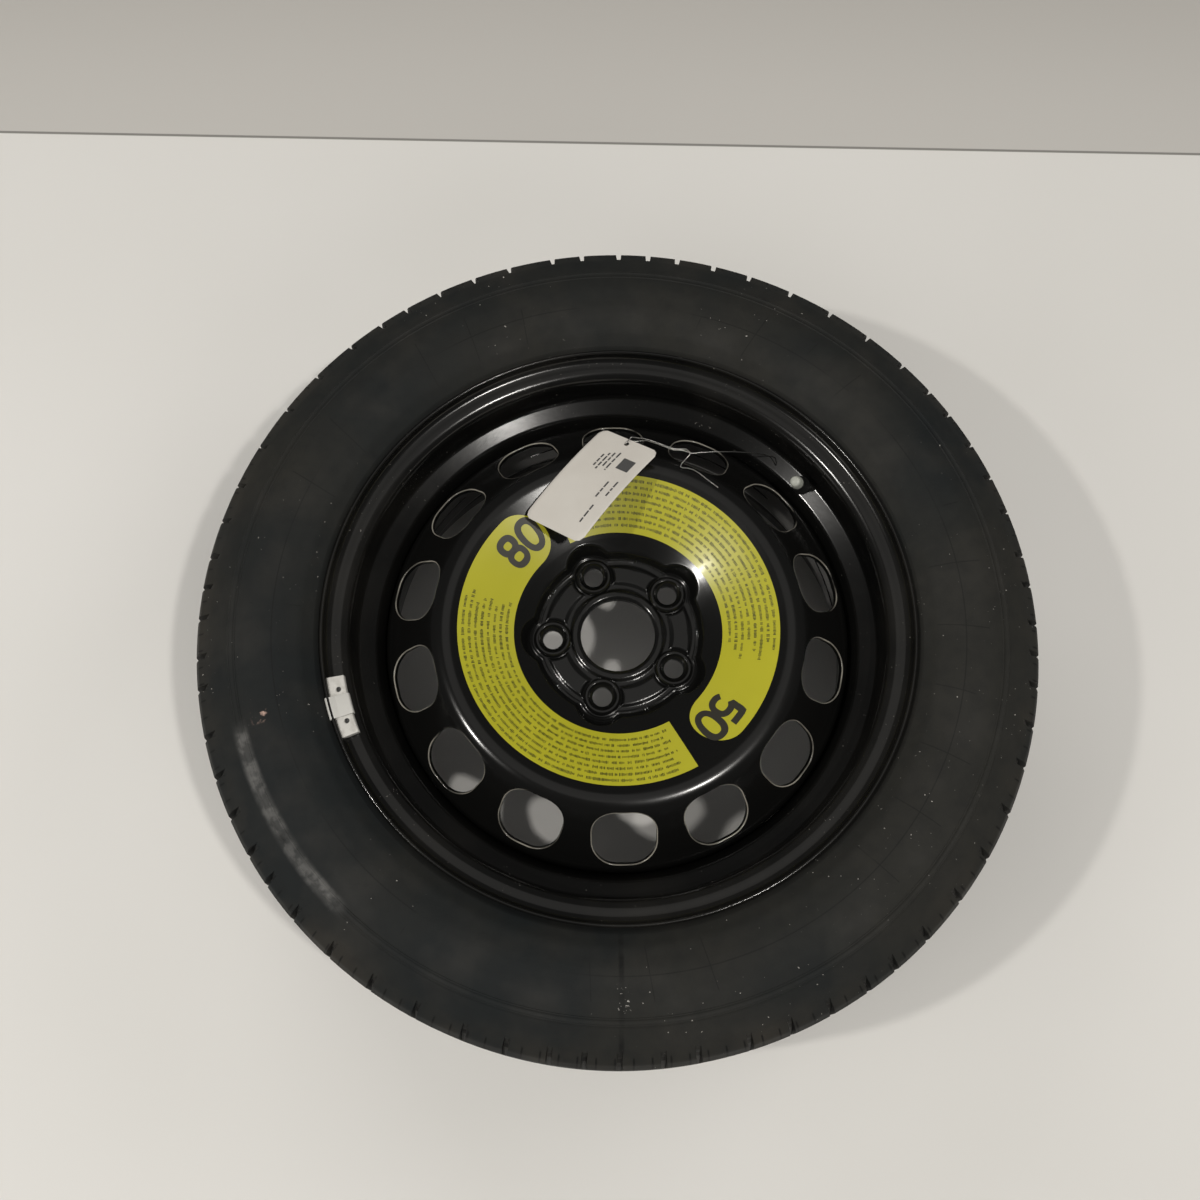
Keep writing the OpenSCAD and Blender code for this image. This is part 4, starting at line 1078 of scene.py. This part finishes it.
# %% Tie wire
wire_route = [
    (76.6, 109.4, 36.35), (71.6, 113.6, 36.25), (67, 117.2, 36.25), (62.4, 121.1, 36.35),
    (57.7, 124.1, 36.45), (53.5, 125.2, 36.65), (49.3, 125.3, 36.95), (47.7, 126.3, 37.25),
    (48.8, 128.8, 37.65), (53, 133.3, 38.55), (55.1, 135.5, 39.25), (54.7, 137.6, 39.75),
    (52.1, 139.7, 40.15), (47.4, 139.4, 40.65), (41.6, 139.4, 41.65), (35.9, 141.3, 42.65),
    (30.3, 143, 43.65), (23.7, 145.1, 44.65), (18.1, 146.2, 45.35), (14.6, 146.5, 45.25),
    tag_at(0, HOLE_Y - 6.5, TAG_T + 2.2), tag_at(0, HOLE_Y - 1.8, TAG_T + 1.6),
    tag_at(0, HOLE_Y, TAG_T + 1.2), tag_at(0, HOLE_Y + 1.3, TAG_T / 2), tag_at(0, HOLE_Y, -1.2),
    tag_at(0, HOLE_Y - 1.8, -1.8), tag_at(0, HOLE_Y - 6.5, -1.9),
    (21.9, 145.6, 42.35), (30.4, 143, 41.35), (41.7, 139.2, 39.95), (49.4, 139.1, 39.05),
    (53.1, 138.1, 38.55), (56.9, 137, 38.15), (63.5, 138, 37.75), (73, 139, 36.95),
    (80.7, 139.8, 35.35), (88.6, 140.9, 32.95), (95.6, 142, 29.75), (102.8, 143.4, 25.95),
    (110.1, 144.6, 21.35), (116.3, 145.3, 17.6), (120.9, 145.1, 14), (123.5, 143.6, 11),
    (125.2, 142.5, 8.4), (126.5, 141.4, 5.3),
]
WIRE_D = 0.8
route = bpy.data.curves.new("wire", "CURVE")
route.dimensions = "3D"
line = route.splines.new("POLY")
line.points.add(len(wire_route) - 1)
for spot, place_at in zip(line.points, wire_route):
    spot.co = (*(np.asarray(place_at, float) * MM), 1)
route.bevel_depth = WIRE_D / 2 * MM
route.bevel_resolution = 3
route.use_fill_caps = True
holder = bpy.data.objects.new("wire", route)
bpy.context.scene.collection.objects.link(holder)
graph = bpy.context.evaluated_depsgraph_get()
mesh = bpy.data.meshes.new_from_object(holder.evaluated_get(graph), depsgraph=graph)
bpy.data.objects.remove(holder)
wire = bpy.data.objects.new("wire", mesh)
bpy.context.scene.collection.objects.link(wire)
mesh.shade_smooth()
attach(wire, "wheel")
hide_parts("tag_wire")
wire_steel, _ = shader("wire", (0.5, 0.49, 0.47), 0.3, metallic=1.0)
wire.data.materials.clear()
wire.data.materials.append(wire_steel)

# %% [markdown]
# ## Valve, balance weight and hidden pieces

# %% Small pieces
valve_rubber, base = shader("valve_rubber", (0.014, 0.014, 0.014), 0.5)
bump(valve_rubber, base, noise(valve_rubber, 600, 3), 0.0001, 0.5)
cap_plastic, _ = shader("cap_plastic", (0.36, 0.37, 0.33), 0.4)
brass, _ = shader("brass", (0.62, 0.44, 0.2), 0.32, metallic=1.0)
spring, _ = shader("spring_steel", (0.5, 0.5, 0.52), 0.3, metallic=1.0)
zinc, base = shader("zinc", (0.5, 0.49, 0.46), 0.45)
color = mixed(zinc, noise(zinc, 180, 4, 0.45, 0.8), (0.55, 0.54, 0.51), (0.36, 0.35, 0.32))
DIMPLE_R, DIMPLE_ANGLES = 0.21, (-165.3, -158.7)
# the weight's two dimples are painted dark: painted shade in their shallow hollows
for angle in DIMPLE_ANGLES:
    shaded_dimple = Vector(polar(DIMPLE_R, math.radians(angle), 0.0))
    flat = node(zinc, "ShaderNodeVectorMath", {0: place(zinc), 1: (1, 1, 0)}, operation="MULTIPLY")
    away = node(zinc, "ShaderNodeVectorMath", {0: flat.outputs[0], 1: shaded_dimple}, operation="DISTANCE")
    color = mixed(zinc, band(zinc, away.outputs["Value"], 0.0021, 0.0015), color, (0.03, 0.03, 0.028))
link(zinc, color, base.inputs["Base Color"])
bump(zinc, base, noise(zinc, 900, 3), 0.0001, 0.5)
clip_steel, _ = shader("clip_steel", (0.5, 0.495, 0.47), 0.38)

for name, node_name, body, material, slot, bevel in (
    ("valve_rubber", "valve_body", "wheel", valve_rubber, "valve_rubber", 0.0),
    ("valve_cap_shell", "valve_cap", "cap", cap_plastic, "cap_plastic", 0.0),
    ("weight_body", "balance_weight", "wheel", zinc, "zinc", 0.35),
    ("weight_spring", "weight_clip", "wheel", clip_steel, "clip_steel", 0.12),
):
    made = smooth_copy(name, node_name, body, bevel=bevel)
    made.data.materials.clear()
    made.data.materials.append(material)
    print(name, len(made.data.polygons), "faces")
for node_name, material in {
    "weld_beads": disc_paint, "valve_stem": brass, "core_body": brass, "core_pin": brass,
    "core_gasket": valve_rubber, "core_washer": valve_rubber, "core_spring": spring,
}.items():
    nodes[node_name].data.materials.clear()
    nodes[node_name].data.materials.append(material)

# %% [markdown]
# ## Floor, light and camera
# The floor is plain and pale, with a slightly darker board behind it, painted darker still further back as
# painted shade. Two small lamps give the shadows and the highlights on the enamel, and broad soft lamps from
# the sides fill them. Reflected rays see a darker room than the one that lights the rubber.

# %% Floor
FLOOR_Z, FLOOR_HALF, BOARD_Y, BOARD_SLANT = -0.1532, 8, 0.5623, 0.0107
floor_paint, base = shader("floor", (0.7, 0.69, 0.66), 0.6, specular=0.2)
spot = node(floor_paint, "ShaderNodeSeparateXYZ", {0: place(floor_paint)}).outputs
slanted = times(floor_paint, times(floor_paint, spot[0], BOARD_SLANT), spot[1], "ADD")
past = times(floor_paint, slanted, BOARD_Y, "SUBTRACT")
color = mixed(floor_paint, noise(floor_paint, 2.2, 3, 0.3, 0.7), (0.70, 0.69, 0.665), (0.73, 0.72, 0.7))
# the board gets darker further back: painted shade
board_and_painted_shade = mixed(floor_paint, band(floor_paint, past, 0.0, 0.28), (0.53, 0.515, 0.49), (0.45, 0.435, 0.41))
color = mixed(floor_paint, band(floor_paint, past, 0.0, 0.001), color, board_and_painted_shade)
joint = band(floor_paint, times(floor_paint, past, 0.0, "ABSOLUTE"), 0.0019, 0.0009)
color = mixed(floor_paint, joint, color, (0.24, 0.235, 0.22))
link(floor_paint, color, base.inputs["Base Color"])
corners = [(x * FLOOR_HALF, y * FLOOR_HALF, FLOOR_Z) for x, y in ((-1, -1), (1, -1), (1, 1), (-1, 1))]
floor_mesh = bpy.data.meshes.new("floor")
floor_mesh.from_pydata(corners, [], [(0, 1, 2, 3)])
floor = bpy.data.objects.new("floor", floor_mesh)
bpy.context.scene.collection.objects.link(floor)
floor.data.materials.append(floor_paint)

# %% Light
world = bpy.data.worlds.new("room")
bpy.context.scene.world = world
world.use_nodes = True
tree = world.node_tree
ground = tree.nodes["Background"]
ground.inputs["Color"].default_value = (1.0, 0.985, 0.96, 1)
path = tree.nodes.new("ShaderNodeLightPath")
level = tree.nodes.new("ShaderNodeMapRange")
level.inputs["To Min"].default_value = 0.13
level.inputs["To Max"].default_value = 0.08
tree.links.new(path.outputs["Is Glossy Ray"], level.inputs["Value"])
tree.links.new(level.outputs["Result"], ground.inputs["Strength"])


def lamp(name, spot, size, watts, glossy=True):
    """A round lamp at a spot in metres, turned to the wheel."""
    light = bpy.data.lights.new(name, "AREA")
    light.shape = "DISK"
    light.size = size
    light.energy = watts
    light.color = (1, 0.97, 0.92)
    made = bpy.data.objects.new(name, light)
    made.location = spot
    made.rotation_mode = "QUATERNION"
    made.rotation_quaternion = Vector(spot).to_track_quat("Z", "Y")
    made.visible_glossy = glossy
    bpy.context.scene.collection.objects.link(made)
    return made


lamp("lamp_right", (0.726, -0.632, 2.405), 0.1, 20)
lamp("lamp_left", (-1.358, -0.435, 2.019), 0.1, 16)
lamp("ceiling", (0.05, 0.3, 2.6), 2.0, 3.4)
lamp("window", (-2.2, -1.25, 0.42), 0.8, 2.0)
for k, (x, y) in enumerate(((2.1, 1.0), (-1.0, 2.1), (-2.1, -1.0), (1.0, -2.1))):
    lamp(f"soft_{k}", (x, y, 1.5), 1.8, 15.0, glossy=False)

# %% Camera
camera = bpy.data.objects.new("camera", bpy.data.cameras.new("camera"))
bpy.context.scene.collection.objects.link(camera)
camera.data.lens = 37.93
camera.data.sensor_width = 36
matrix = np.eye(4)
matrix[:3, 0] = (0.999939, 0.003202, 0.010532)
matrix[:3, 1] = (-0.006141, 0.956287, 0.292364)
matrix[:3, 2] = (-0.009136, -0.292411, 0.956249)
matrix[:3, 3] = np.array([-22.771, -258.468, 941.238]) * MM
camera.matrix_world = [list(row) for row in matrix.T]
bpy.context.scene.camera = camera
bpy.context.scene.view_settings.view_transform = "Standard"
print("camera at", np.round(matrix[:3, 3], 3).tolist())
